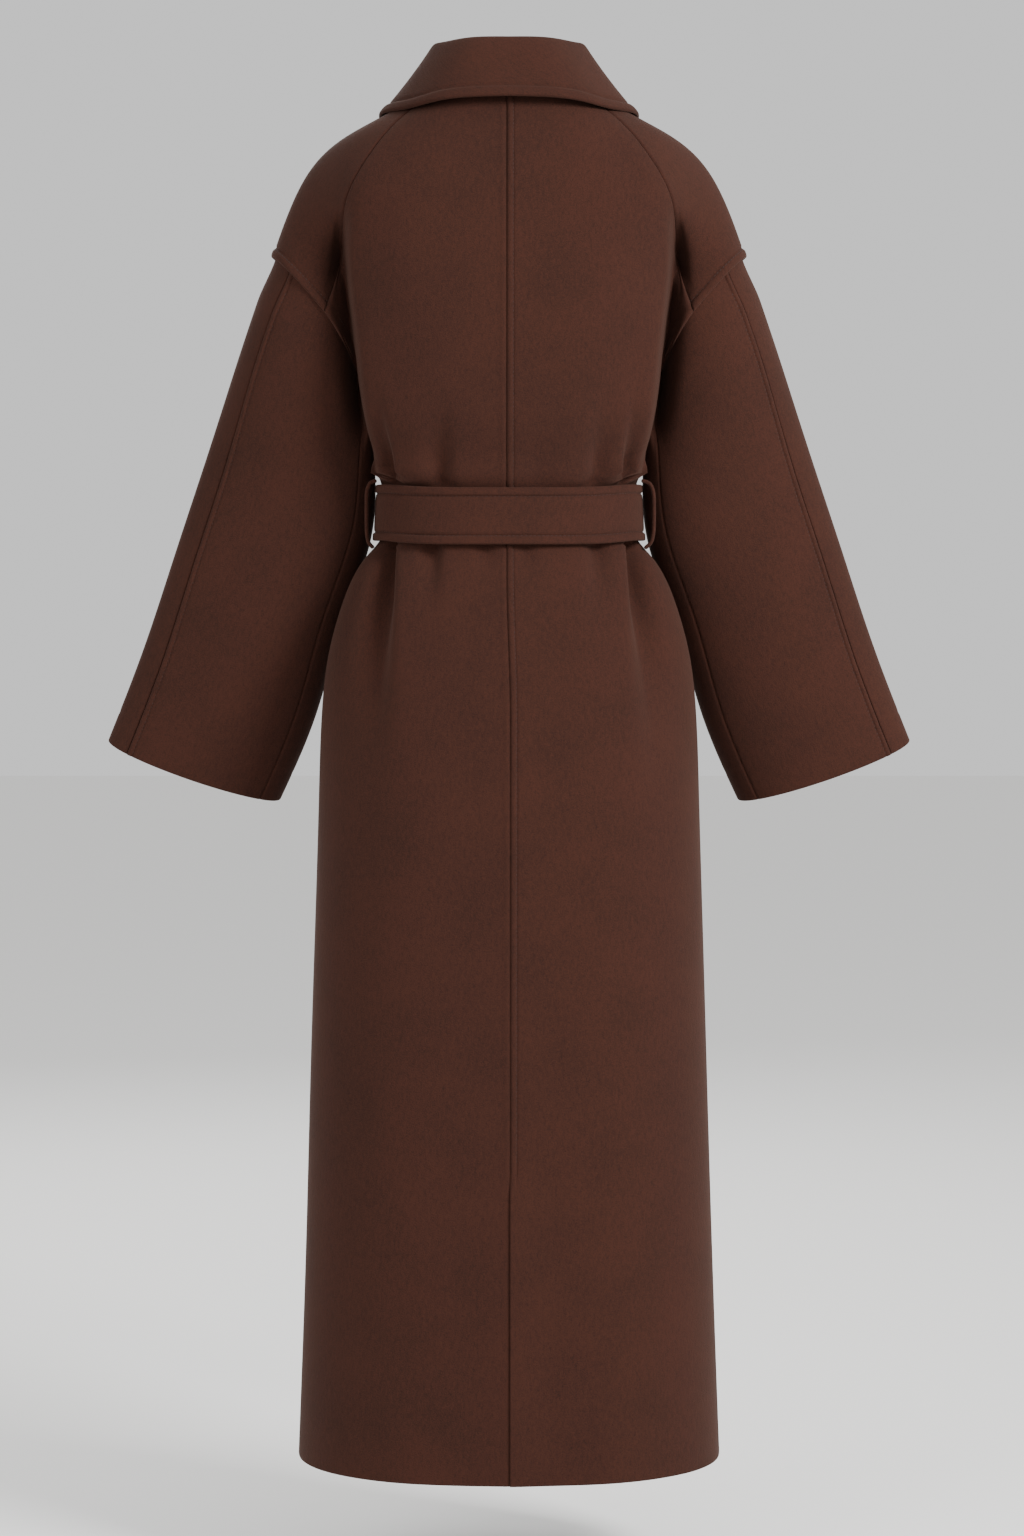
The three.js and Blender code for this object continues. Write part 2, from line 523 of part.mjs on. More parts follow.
// Lapel: the front's own cloth, rolled out over its edge and laid on the front.
// The first points go round the roll, across the edge; the rest lie on the front panel.
const ROLL = [[1.3, -CLOTH], [3.8, -1.9], [5.5, 0.6], [4.9, 3.8], [2.5, 5.9]];
const LAPEL_COLUMNS = 11;
const lapelReach = spline([0, 0.25, 0.5, 0.72, 0.86, 1], [0.03, 0.26, 0.52, 0.72, 0.78, 0.75]);
const gorgeLevel = (share) => NECK_LEVEL - 80 * share ** 1.3;
const LAPEL_FIRST_ROW = 22; // of the front panel's own rows
function lapel(side) {
  const front = panels.front(side);
  const outer = [];
  const inner = [];
  const rows = LOWER_ROWS + UPPER_ROWS - LAPEL_FIRST_ROW;
  const rowLevel = (j) => levelAt((LAPEL_FIRST_ROW + j) / (LOWER_ROWS + UPPER_ROWS));
  const low = rowLevel(0);
  for (let j = 0; j <= rows; j++) {
    const rise = (rowLevel(j) - low) / (NECK_LEVEL - low);
    const edgeLevel = lerp(low, gorgeLevel(0), rise);
    const edge = front(0, edgeLevel);
    const upward = front(0, edgeLevel + 0.5).sub(front(0, edgeLevel - 0.5)).normalize();
    const up = panelNormal("front", side, 0, edgeLevel);
    const across = up.clone().cross(upward).multiplyScalar(side);
    const path = ROLL.map(([a, b]) => edge.clone().addScaledVector(across, a).addScaledVector(up, b));
    for (let i = ROLL.length; i <= LAPEL_COLUMNS; i++) {
      const share = (i - ROLL.length + 0.3) / (LAPEL_COLUMNS - ROLL.length + 0.3);
      const u = lapelReach(rise) * share;
      const level = lerp(low, gorgeLevel(share), rise);
      path.push(front(u, level).addScaledVector(panelNormal("front", side, u, level), LAPEL_LIFT));
    }
    outer.push(...path);
    inner.push(...path.map((p, i) => {
      const along = path[Math.min(i + 1, LAPEL_COLUMNS)].clone().sub(path[Math.max(i - 1, 0)]);
      const out = i ? along.cross(upward).normalize().multiplyScalar(side) : up.clone().negate();
      return p.clone().addScaledVector(out, -CLOTH);
    }));
  }
  return wallBetween(outer, inner, LAPEL_COLUMNS, rows, side);
}

// Belt band: round the waist, with its two ends behind the knot.
function beltBand() {
  const start = Math.asin(BELT_GAP / 2 / BELT.top.width);
  const oval = (angle, v, inset) => {
    const size = (key) => lerp(BELT.bottom[key], BELT.top[key], v) - inset;
    const x = Math.sin(angle);
    const y = -Math.cos(angle);
    const power = 2 / RING_POWER;
    return v3(
      size("width") * Math.sign(x) * Math.abs(x) ** power,
      size(y > 0 ? "back" : "front") * Math.sign(y) * Math.abs(y) ** power,
      lerp(BELT_BOTTOM_Z, BELT_TOP_Z, v),
    );
  };
  const grids = [0, DOUBLED].map((inset) => {
    const grid = [];
    for (const v of [0, 0.5, 1])
      for (let i = 0; i <= 60; i++) {
        const p = oval(lerp(start, 2 * Math.PI - start, i / 60), v, inset);
        p.z -= 4 * smoothstep(p.y, 40, 95);
        grid.push(p);
      }
    return grid;
  });
  return wallBetween(...grids, 60, 2, 1);
}

// Knot: a cushion of cloth in front of the band, with the wrap's edge across it.
function beltKnot() {
  const count = 10;
  const front = [];
  const back = [];
  const middle = (BELT_TOP_Z + BELT_BOTTOM_Z) / 2;
  for (let j = 0; j <= count; j++)
    for (let i = 0; i <= count; i++) {
      const a = lerp(-1, 1, i / count);
      const b = lerp(-1, 1, j / count);
      const x = KNOT.halfWidth * a * Math.sqrt(1 - 0.3 * b * b);
      const z = middle + KNOT.halfHeight * b * Math.sqrt(1 - 0.3 * a * a);
      const swell = ((1 - a ** 4) * (1 - b ** 4)) ** 0.5;
      const crease = 4 * Math.exp(-(((a - 0.35 * b - 0.3) / 0.22) ** 2)) * swell;
      front.push(v3(x, KNOT.back - KNOT.rim - (KNOT.depth - KNOT.rim) * swell + crease, z));
      back.push(v3(x, KNOT.back, z));
    }
  return wallBetween(front, back, count, count, 1);
}

// Belt ends: they hang from the knot and lie on the skirt.
const endDepth = spline(END_DEPTHS.levels, END_DEPTHS.depths);
function beltEnd({ topX, lowX, lowZ }) {
  const topZ = BELT_BOTTOM_Z - 0.6;
  const surface = (u, v) => {
    const z = lerp(lowZ, topZ, v);
    const drop = (topZ - z) / (topZ - lowZ);
    const half = lerp(12, 21, smoothstep(drop, 0, 0.3));
    const x = lerp(topX, lowX, drop) + half * u;
    const bend = 1.5 * Math.sin(5 * u) * smoothstep(drop, 0, 0.2);
    return v3(x, bend - ovalDepth(x, ringWidth(z), endDepth(z)), z);
  };
  const normal = (u, v) => normalOf(surface, u, v, [1e-3, 1e-3], 1);
  const place = (i, j) => [lerp(-1, 1, i), j];
  return wall({ surface, normal, place, columns: 4, rows: 14, thickness: DOUBLED, out: 1 });
}

// Belt loop: a narrow strip that stands out over the belt at the side.
function beltLoop({ side, path }) {
  const knots = path.map((_, i) => i);
  const line = splineThrough(knots, path.map(([x, z]) => v3(x * side, 0, z)));
  const surface = (u, v) => line(v).setY(u);
  const normal = (u, v) => normalOf(surface, u, v, [1e-3, 1e-3], -side);
  const place = (i, j) => [lerp(LOOP_FROM_Y, LOOP_TO_Y, i), j * (path.length - 1)];
  return wall({ surface, normal, place, columns: 2, rows: 14, thickness: LOOP_THICKNESS, out: -side });
}

for (const [name, side] of [["left", 1], ["right", -1]]) {
  add(`back_${name}`, backPanel(side));
  add(`front_${name}`, frontPanel(side));
  add(`shoulder_${name}`, shoulderPiece(side));
  add(`sleeve_under_${name}`, sleevePiece(side, OUTER_SEAM, INNER_SEAM, 8));
  add(`sleeve_upper_${name}`, sleevePiece(side, INNER_SEAM, OUTER_SEAM + 2 * Math.PI, 14));
}
add("collar", collar());
for (const [name, side] of [["left", 1], ["right", -1]]) add(`lapel_${name}`, lapel(side));
add("belt_band", beltBand());
add("belt_knot", beltKnot());
for (const end of BELT_ENDS) add(`belt_end_${end.name}`, beltEnd(end));
for (const loop of LOOPS) add(`belt_loop_${loop.name}`, beltLoop(loop));

export default coat;
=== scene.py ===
"""A belted maxi coat in thick brown wool, worn and hollow: its cloth, seams, stitching and materials.

The surfaces are functions of two parameters, in millimetres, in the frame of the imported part:
+Z up, the front faces -Y and the wearer's left is +X. The meshes are in metres.
"""
import math

import bpy
import numpy as np
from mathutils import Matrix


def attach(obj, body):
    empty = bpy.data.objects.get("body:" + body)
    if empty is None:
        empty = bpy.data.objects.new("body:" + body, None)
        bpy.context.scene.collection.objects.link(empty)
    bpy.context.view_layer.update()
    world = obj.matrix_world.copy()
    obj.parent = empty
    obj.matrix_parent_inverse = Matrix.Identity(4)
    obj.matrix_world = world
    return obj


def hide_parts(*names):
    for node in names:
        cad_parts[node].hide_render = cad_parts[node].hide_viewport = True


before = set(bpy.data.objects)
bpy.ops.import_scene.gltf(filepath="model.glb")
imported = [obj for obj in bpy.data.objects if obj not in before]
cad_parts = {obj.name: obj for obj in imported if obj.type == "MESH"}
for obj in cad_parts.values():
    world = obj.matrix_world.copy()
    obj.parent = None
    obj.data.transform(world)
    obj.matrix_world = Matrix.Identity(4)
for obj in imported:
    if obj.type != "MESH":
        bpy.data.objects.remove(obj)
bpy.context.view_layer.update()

MM = 0.001
CLOTH = 2.4
DOUBLED = 4
SLEEVE_TUCK = 3.5
SLEEVE_LENGTH = 560  # about, along its middle
EDGE_ROUNDING = 0.94  # how much of the thickness an edge's half round takes up
HEM_Z = -1363
BELT_TOP_Z = -392.5
BELT_BOTTOM_Z = -448
EDGE_AT_BELT = 7
LAP_AT_HEM = 60
LAP_LIFT = 3.4
ROLL_TOP_X = 64
ROLL_TOP_Z = -28
LAPEL_LIFT = 6.4
ARMHOLE_SKEW = 0.45
ARMHOLE_BULGE = 17
RAGLAN_END = math.radians(78)
OUTER_SEAM = math.radians(40)
INNER_SEAM = math.radians(141)
RING_POWER = 2.3
VENT_TOP_Z = -1055  # the back vent, closed, from here down to the hem

# Body rings: height, half width, depth behind and depth in front
RINGS = np.array([
    [HEM_Z, 212, 163, 151],
    [-1150, 204, 153, 142],
    [-900, 196.5, 145, 133],
    [-700, 190, 137, 125],
    [-620, 187, 132, 120],
    [-560, 180, 124, 114],
    [-515, 168, 113, 107],
    [-480, 153.5, 103, 102],
    [-462, 141, 95.5, 97],
    [BELT_BOTTOM_Z, 129, 90, 94],
    [-422, 127, 88.5, 92],
    [BELT_TOP_Z, 127, 87.8, 92],
])
RING_ANGLES = np.radians([0, 22, 44, 62, 77, 90])

# Bodice rows: height, back, fold x y, turn x y, side x y, front, front turn x y, front fold x y
BODICE = np.array([
    [-386, 91, 131, 46, 130.5, 20, 129, -4, 98, 126, -40, 117, -70],
    [-372, 94, 136, 50, 134.5, 22, 131, -6, 104, 127, -42, 118, -72],
    [-350, 101, 139, 58, 135.5, 26, 130, -8, 113, 127.5, -44, 118.5, -78],
])

# Armhole rows: angle, height, front height, back, front, fold x y, turn x y, then the front's
ARMHOLE_ROWS = np.array([
    [180, -330, -338, 107, 118, 143, 68, 140, 32, 131, -44, 124, -80],
    [130, -296, -312, 112, 124, 147, 74, 147, 48, 142, -62, 130, -86],
    [105, -262, -282, 116, 127, 150, 76, 152, 54, 150, -66, 134, -88],
    [78, -223, -240, 118, 127, 153, 77, 163, 58, 162, -68, 140, -88],
])

# Shoulder rows: height, back, fold x y, turn x y, seam, quarter point, ridge x z, front height,
# front and the front's seam
SHOULDER_ROWS = np.array([
    [-165, 116.5, 157, 78, 163, 64, 166, 50, -166, 200, 40, -142, 217, -119, -195, 123, 166, -62, -172],
    [-118, 112, 136, 93, 149, 86, 160, 76, -119, 183, 46, -100, 196, -80, -150, 116, 154, -72, -124],
    [-70, 102, 110, 88, 124, 83, 136, 76, -72, 152, 44, -54, 160, -48, -105, 106, 134, -70, -78],
    [-32, 88, 82, 75, 95, 70, 106, 63, -36, 114, 36, -27, 117, -26, -62, 92, 106, -58, -42],
    [-2, 76, 52, 60, 61, 52, 69, 43, -6, 78, 24, -5, 81, -5, -28, 75, 74, -40, -12],
])

# Sleeve sections: place, outer edge, inner edge, half depth, skew, bulge and drop
SLEEVE = np.array([
    [0, 235, 0, -168, 135, -8, -330, 52, 1, 1, 0],
    [0.2, 269, -14, -264, 134, -22, -374, 50, 0.5, 0.1, 2],
    [0.4, 302, -34, -360, 139, -38, -447, 47, 0, 0, 4],
    [0.6, 336, -49, -458, 168, -51, -531, 44, 0, 0, 6],
    [0.8, 370, -62, -556, 195, -63, -622, 41, 0, 0, 8],
    [1, 408, -76, -650.5, 233, -76, -710.5, 39, 0, 0, 9],
])

# Collar rows from the centre back to the front end of one side
COLLAR = np.array([
    [[0, 73.6, -2.3], [0, 67, 18], [0, 59.5, 33], [0, 65, 42.2], [0, 72, 35], [0, 85, 9],
     [0, 98.5, -18.5]],
    [[35.8, 65, -1.3], [36, 61, 18], [36, 53, 33], [38, 58.5, 42.2], [41, 66, 35], [51, 79, 8],
     [61, 91, -21]],
    [[64, 41.2, -4.6], [62, 38, 15], [60, 33, 32], [64, 33, 41], [69, 38, 34], [83, 51, 5],
     [100.5, 62, -27]],
    [[77.4, 4, -4.4], [74.5, 3, 14], [68, 2, 30], [73.5, 3, 40], [80, 4, 34], [101, 6, 5],
     [127.5, 8, -27]],
    [[74.6, -22, -6.2], [72.5, -24, 7], [67, -27, 20], [71, -29, 30], [79, -29, 26], [100, -34, -3],
     [128.5, -43, -34]],
    [[68.8, -45, -12.7], [66.5, -49, -7], [63, -52, 0], [65, -57, 8], [72, -60, 5], [94, -64, -22],
     [124, -76, -57]],
    [[59.2, -70.6, -25.8], [58.5, -74.5, -24], [57, -76, -21], [59, -81, -17], [64, -84, -19],
     [86, -87, -42], [111, -93, -78]],
])
COLLAR_KNOTS = [0, 0.18, 0.36, 0.56, 0.7, 0.86, 1]
PROFILE_KNOTS = [0, 0.17, 0.31, 0.42, 0.51, 0.74, 1]
COLUMN_KNOTS = [0, 0.25, 0.5, 0.7, 0.85, 1]

# Folds that the belt makes: place across, half width towards the centre and away from it, depth,
# reach up, reach down and drift
FOLDS = np.array([
    [116, 3, 9, 19, 78, 0, 0.2],
    [66, 8, 10, 11, 66, 0, 0.02],
    [-30, 12, 12, 2.5, 36, 0, 0],
    [-86, 8, 10, 11.5, 68, 0, -0.1],
    [-117, 3, 8, 17, 72, 0, -0.1],
    [117, 3, 8, 27, 0, 190, 0.1],
    [73, 7, 9, 11, 0, 60, 0.1],
    [21, 8, 8, 5, 0, 30, 0],
    [-18, 7, 7, 4, 0, 26, 0],
    [-86, 8, 9, 10, 0, 62, -0.06],
    [-121, 3, 7, 26, 0, 190, -0.13],
])

# Where the back folds over beside the arm: height and distance from the centre
ARM_FOLD = np.array([[-110, 158], [-165, 159], [-215, 155], [-264, 149], [-333, 141], [-387, 128]])

# The valley lies 3 mm outside that fold. Its bells: depth, half width on the back's side and on
# the arm's. Near a seam, within about 5 mm, both pieces move as the seam does.
VALLEY_OFFSET = 3
VALLEY_BELLS = ((18, 4, 12), (20, 3.5, 6.5))
SEAM_HOLD = 5

# Belt ovals: half width, depth behind and in front, at the bottom and the top edge
BELT_OVALS = np.array([[135, 98.5, 103.5], [132, 92.5, 101.5]])
KNOT_POINTS = 61
KNOT = {"half_width": 30, "half_height": 26.7, "rim": 5, "depth": 21, "back": -104.4}
BELT_ENDS = {"left": (15, 42, -815), "right": (-15, -46, -770)}
LOOPS = {
    "left": [[131.2, -387.2], [134, -387.6], [138.8, -390], [141.6, -395.5], [142.8, -405],
             [142.8, -434], [142.3, -443], [140.6, -450.5], [135.4, -456.5]],
    "right": [[131.2, -387.2], [134.4, -387.6], [140.4, -390.4], [143.6, -396], [145.2, -406],
              [145.3, -432], [144.6, -442], [142.2, -450.5], [135.5, -457]],
}
LOOP_THICKNESS = 3.6
LOOP_EDGES_Y = (13, 23)  # the strip's two edges, behind the side seam

# Distances from an edge where a grid has its close rows and columns; the stitches lie at one
NEAR = np.array([0, 0.12, 0.4, 0.8, 1.25, 1.9, 2.7, 3.7, 4.8, 5.7, 6.5, 7.3, 8.1, 9, 10.2, 12.2, 15])
STITCH_COLUMN = 10
LIP_COLUMN = 14
SIDES = (("left", 1), ("right", -1))


def smoothstep(x, low, high):
    """Three squares less two cubes of x's share of the way from low to high, held from 0 to 1."""
    t = np.clip((np.asarray(x, float) - low) / (high - low), 0, 1)
    return t * t * (3 - 2 * t)


def bell(x, half):
    """One at nothing, falling off as e to the minus square of x over half."""
    return np.exp(-((x / half) ** 2))


def mix(a, b, share):
    """From a to b by a share of the way."""
    return a + (b - a) * share


def unit(p):
    """Vectors divided by their lengths."""
    return p / np.linalg.norm(p, axis=-1, keepdims=True)


def spline_weights(knots, t):
    """The share of each knot's value in a natural cubic spline at t: the curve whose second
    slope is continuous and nothing at both ends."""
    knots = np.asarray(knots, float)
    t = np.asarray(t, float)
    n = len(knots)
    h = np.diff(knots)
    k = np.arange(1, n - 1)
    left = np.eye(n)
    right = np.zeros((n, n))
    left[k, k - 1], left[k, k], left[k, k + 1] = h[:-1], 2 * (h[:-1] + h[1:]), h[1:]
    right[k, k - 1], right[k, k], right[k, k + 1] = 6 / h[:-1], -6 / h[:-1] - 6 / h[1:], 6 / h[1:]
    bend = np.linalg.solve(left, right)
    i = np.clip(np.searchsorted(knots, t, side="right") - 1, 0, n - 2)
    a = ((knots[i + 1] - t) / h[i])[..., None]
    b = 1 - a
    eye = np.eye(n)
    cubic = (a**3 - a) * bend[i] + (b**3 - b) * bend[i + 1]
    return a * eye[i] + b * eye[i + 1] + cubic * (h[i] ** 2 / 6)[..., None]


def spline(knots, values):
    """The natural cubic spline through values, which may be numbers, points or rows of points."""
    values = np.asarray(values, float)
    return lambda t: np.tensordot(spline_weights(knots, t), values, axes=(-1, 0))


def net(row_knots, column_knots, rows, edge=None):
    """A surface through a net of points: splines down the net's columns, then one across them at
    each height. The last column can be a curve of its own."""
    down = spline(row_knots, rows)

    def at(u, v):
        u, v = np.broadcast_arrays(np.asarray(u, float), v)
        columns = down(v)
        if edge:
            columns[..., -1, :] = edge(v)
        return (spline_weights(column_knots, u)[..., None] * columns).sum(axis=-2)

    return at


sleeve_knots = SLEEVE[:, 0]
sleeve_parts = spline(sleeve_knots, SLEEVE[:, 1:])


def sleeve_base(angle, at):
    """The sleeve: an oval about the line from its outer to its inner edge. The place along that
    line goes with the cosine of the angle and the depth with its sine; at the armhole the oval
    leans towards the neck by the sine squared."""
    angle, at = np.broadcast_arrays(np.asarray(angle, float), at)
    parts = sleeve_parts(at)
    outer, inner = parts[..., 0:3], parts[..., 3:6]
    depth, skew, bulge, drop = (parts[..., k] for k in (6, 7, 8, 9))
    along = outer - inner
    neckward = unit(np.stack([-along[..., 2], 0 * at, along[..., 0]], -1))
    p = (outer + inner) / 2 + along * (np.cos(angle) / 2)[..., None]
    p = p + neckward * (ARMHOLE_BULGE * bulge * np.sin(angle) ** 2)[..., None]
    p[..., 1] += depth * (1 + ARMHOLE_SKEW * skew * np.cos(angle)) * np.sin(angle)
    p[..., 2] -= drop * np.sin(angle)
    return p


def armhole(angle):
    """The armhole: the sleeve's first oval."""
    return sleeve_base(angle, 0.0)


LEVELS = np.concatenate([RINGS[:, 0], BODICE[:, 0], ARMHOLE_ROWS[:, 1], SHOULDER_ROWS[:, 0]])
ARM_LEVEL = ARMHOLE_ROWS[0, 1]
SEAM_LEVEL = ARMHOLE_ROWS[3, 1]
NECK_LEVEL = SHOULDER_ROWS[4, 0]
SEAM_LEVELS = np.concatenate([[SEAM_LEVEL], SHOULDER_ROWS[:, 0]])
arm_angle = spline(ARMHOLE_ROWS[:, 1], np.radians(ARMHOLE_ROWS[:, 0]))
arm_level = spline(np.radians(ARMHOLE_ROWS[::-1, 0]), ARMHOLE_ROWS[::-1, 1])
side_points = np.concatenate([
    RINGS[:, [1, 0, 0]] * [1, 0, 1],
    BODICE[:, [6, 7, 0]],
    armhole(math.pi)[None],
])
side_seam = spline(LEVELS[: len(side_points)], side_points)


def panel_edge(facing, seams):
    """The edge away from the centre: the side seam, then the armhole, then the shoulder seam."""
    seam = spline(SEAM_LEVELS, np.vstack([armhole(facing * RAGLAN_END), seams]))

    def at(level):
        level = np.asarray(level, float)[..., None]
        arm = armhole(facing * arm_angle(np.clip(level[..., 0], ARM_LEVEL, SEAM_LEVEL)))
        upper = np.where(level < SEAM_LEVEL, arm, seam(level[..., 0]))
        return np.where(level <= ARM_LEVEL, side_seam(level[..., 0]), upper)

    return at


back_edge = panel_edge(1, SHOULDER_ROWS[:, 6:9])
front_side_edge = panel_edge(-1, SHOULDER_ROWS[:, 16:19])
ring_width = spline(RINGS[:, 0], RINGS[:, 1])
ring_front = spline(RINGS[:, 0], RINGS[:, 3])


def oval_depth(x, width, depth):
    """The depth of a squared oval at a distance from its middle: one less the distance's share to
    the power 2.3, to the power one over 2.3."""
    return depth * np.maximum(0, 1 - np.abs(x / width) ** RING_POWER) ** (1 / RING_POWER)


ring_x = RINGS[:, 1:2] * np.sin(RING_ANGLES) ** (2 / RING_POWER)
ARC_SHARES = np.array([[0, 0], [0.4745, 0.132], [0.812, 0.517], [1, 1]])


def arc_rows(start, fold, turn):
    """Rows that curve from the centre to the fold, then turn in beside the arm."""
    across, rise = ARC_SHARES[:, 0], ARC_SHARES[:, 1]
    share = np.stack([across, rise, across], -1)
    arc = mix(start[:, None], fold[:, None], share)
    return np.concatenate([arc, turn[:, None], turn[:, None]], axis=1)


def stack(*columns):
    """Points from their coordinates, each a number or an array."""
    return np.stack(np.broadcast_arrays(*columns), -1).astype(float)


def back_rows():
    """The back's net: the body rings up to the belt, then arcs from the centre to the fold."""
    rings = stack(ring_x, oval_depth(ring_x, RINGS[:, 1:2], RINGS[:, 2:3]), RINGS[:, 0:1])
    z = LEVELS[len(RINGS) :]
    back = np.concatenate([BODICE[:, 1], ARMHOLE_ROWS[:, 3], SHOULDER_ROWS[:, 1]])
    fold = np.vstack([BODICE[:, 2:4], ARMHOLE_ROWS[:, 5:7], SHOULDER_ROWS[:, 2:4]])
    turn = np.vstack([BODICE[:, 4:6], ARMHOLE_ROWS[:, 7:9], SHOULDER_ROWS[:, 4:6]])
    turn_z = z.copy()
    turn_z[-len(SHOULDER_ROWS) :] = mix(SHOULDER_ROWS[:, 0], SHOULDER_ROWS[:, 8], 0.6)
    others = arc_rows(
        stack(0, back, z), stack(fold[:, 0], fold[:, 1], z), stack(turn[:, 0], turn[:, 1], turn_z)
    )
    return np.concatenate([rings, others])


def front_edge_x(z):
    """The front's own edge: up the roll line as the height's share to the power 1.15 above the
    belt, and past the centre by the square root of the share below it."""
    rise = np.clip((z + 385) / (ROLL_TOP_Z + 385), 0, None)
    above = mix(EDGE_AT_BELT, ROLL_TOP_X, rise**1.15)
    below = mix(EDGE_AT_BELT, -LAP_AT_HEM, np.sqrt(np.clip((z + 440) / (HEM_Z + 440), 0, None)))
    return np.where(np.asarray(z) > -385, above, below)


def front_rows():
    """The front's net: the body rings from the front's own edge, arcs over the chest, and up to
    the shoulder straight rows that swell by a sine."""
    edge = front_edge_x(RINGS[:, 0:1])
    fold = ring_x[:, 3:4]
    x = np.hstack([edge, mix(edge, fold, 0.36), mix(edge, fold, 0.7), ring_x[:, 3:]])
    rings = stack(x, -oval_depth(x, RINGS[:, 1:2], RINGS[:, 3:4]), RINGS[:, 0:1])
    z = LEVELS[len(RINGS) : -len(SHOULDER_ROWS)]
    front_z = np.concatenate([BODICE[:, 0], ARMHOLE_ROWS[:, 2]])
    front = np.concatenate([BODICE[:, 8], ARMHOLE_ROWS[:, 4]])
    turn = np.vstack([BODICE[:, 9:11], ARMHOLE_ROWS[:, 9:11]])
    fold = np.vstack([BODICE[:, 11:13], ARMHOLE_ROWS[:, 11:13]])
    chest = arc_rows(
        stack(front_edge_x(front_z), -front, front_z),
        stack(fold[:, 0], fold[:, 1], z),
        stack(turn[:, 0], turn[:, 1], z),
    )
    start = stack(front_edge_x(SHOULDER_ROWS[:, 14]), -SHOULDER_ROWS[:, 15], SHOULDER_ROWS[:, 14])
    end = SHOULDER_ROWS[:, 16:19]
    share = np.array(COLUMN_KNOTS)[None, :]
    shoulder = mix(start[:, None], end[:, None], share[..., None])
    length = np.linalg.norm(end - start, axis=-1)[:, None]
    shoulder[..., 1] -= 0.1 * length * np.sin(math.pi * share)
    return np.concatenate([rings, chest, shoulder])


back_base = net(LEVELS, COLUMN_KNOTS, back_rows(), back_edge)
front_base = net(LEVELS, COLUMN_KNOTS, front_rows(), front_side_edge)
SADDLE_KNOTS = [-1, -0.5, 0, 0.5, 1]
saddle_points = [
    np.vstack([armhole(RAGLAN_END * share), points])
    for share, points in (
        (0.5, SHOULDER_ROWS[:, 9:12]),
        (0, stack(SHOULDER_ROWS[:, 12], 0, SHOULDER_ROWS[:, 13])),
        (-0.5, SHOULDER_ROWS[:, 9:12] * [1, -1, 1] - [0, 0, 2]),
    )
]
saddle_lines = [back_edge, *(spline(SEAM_LEVELS, p) for p in saddle_points), front_side_edge]


def shoulder_base(u, level):
    """The shoulder: a spline over five lines that run from the armhole to the neck."""
    u, level = np.broadcast_arrays(np.asarray(u, float), level)
    lines = np.stack([line(level) for line in saddle_lines], axis=-2)
    return (spline_weights(SADDLE_KNOTS, u)[..., None] * lines).sum(axis=-2)


collar_base = net(COLLAR_KNOTS, PROFILE_KNOTS, COLLAR)


def fold_depth(x, z):
    """How far the belt's folds push the cloth in: each a bell across that is steep towards the
    centre and soft away from it, drifts sideways and fades with the square of the way from the
    belt."""
    total = np.zeros(np.broadcast(x, z).shape)
    for place, steep, soft, deep, up, down, drift in FOLDS:
        away = z - BELT_TOP_Z if up else BELT_BOTTOM_Z - z
        past = np.maximum(0, away)
        fade = smoothstep(away, -10, 8) * np.exp(-1.6 * (past / (up or down)) ** 2)
        across = (x - place - drift * past) * np.sign(place)
        half = np.where(across < 0, steep + 0.07 * past, soft + 0.15 * past)
        total += deep * fade * bell(across, half)
    return total


def folded(p):
    """Moves body points in towards the middle by the depth of the folds, except at the sides."""
    inward = unit(np.stack([-0.3 * p[..., 0], -p[..., 1], 0 * p[..., 0]], -1))
    depth = fold_depth(p[..., 0], p[..., 2]) * smoothstep(np.abs(p[..., 1]), 5, 40)
    return p + inward * depth[..., None]


arm_fold = spline(ARM_FOLD[::-1, 0], ARM_FOLD[::-1, 1])


def valley_depth(p):
    """The deep valley between the back's fold and the arm: a bell across, steep on the back's
    side and soft on the arm's, that fades out upwards, downwards and towards the front."""
    x, y, z = np.abs(p[..., 0]), p[..., 1], p[..., 2]
    across = x - arm_fold(np.clip(z, -400, -100)) - VALLEY_OFFSET
    reach = smoothstep(-z, 120, 185) * (1 - smoothstep(-z, 372, 398)) * smoothstep(y, 0, 25)
    depth = sum(
        deep * bell(across, np.where(across < 0, steep, soft)) for deep, steep, soft in VALLEY_BELLS
    )
    return reach * depth


def arm_valley(p, *seams):
    """Moves points forward into the valley. Each seam gives its own depth and the points'
    distance from it, and near it they move as it does, so that the seam stays closed."""
    push = valley_depth(p)
    for depth, distance in seams:
        push = mix(push, depth, bell(distance, SEAM_HOLD))
    p = p.copy()
    p[..., 1] -= push
    return p


def mirrored(p, side):
    """Points of the left side, or turned over to the right."""
    return p * [side, 1, 1]


def front_surface(u, v, side):
    """The front of one side: near the centre below the belt it lies on the body's oval, and the
    right one laps over the left."""
    p = mirrored(front_base(u, v), side)
    x, z = p[..., 0], p[..., 2]
    oval = -oval_depth(x, ring_width(z), ring_front(z))
    near = smoothstep(-z, 372, 400) * (1 - smoothstep(np.abs(x) / ring_width(z), 0.55, 0.8))
    p[..., 1] = mix(p[..., 1], oval, near)
    p = folded(p)
    if side < 0:
        p[..., 1] -= LAP_LIFT * smoothstep(x, -115, -65) * smoothstep(-z, 395, 440)
    return p


def panel(kind, side):
    """The surface of a panel on one side of the coat."""
    if kind == "front":
        return lambda u, v: front_surface(u, v, side)
    base = {"back": back_base, "shoulder": shoulder_base, "sleeve": sleeve_base}[kind]
    if kind == "back":
        return lambda u, v: folded(mirrored(base(u, v), side))
    return lambda u, v: mirrored(base(u, v), side)


OUTWARD = {"back": -1, "front": 1, "shoulder": -1, "sleeve": -1}


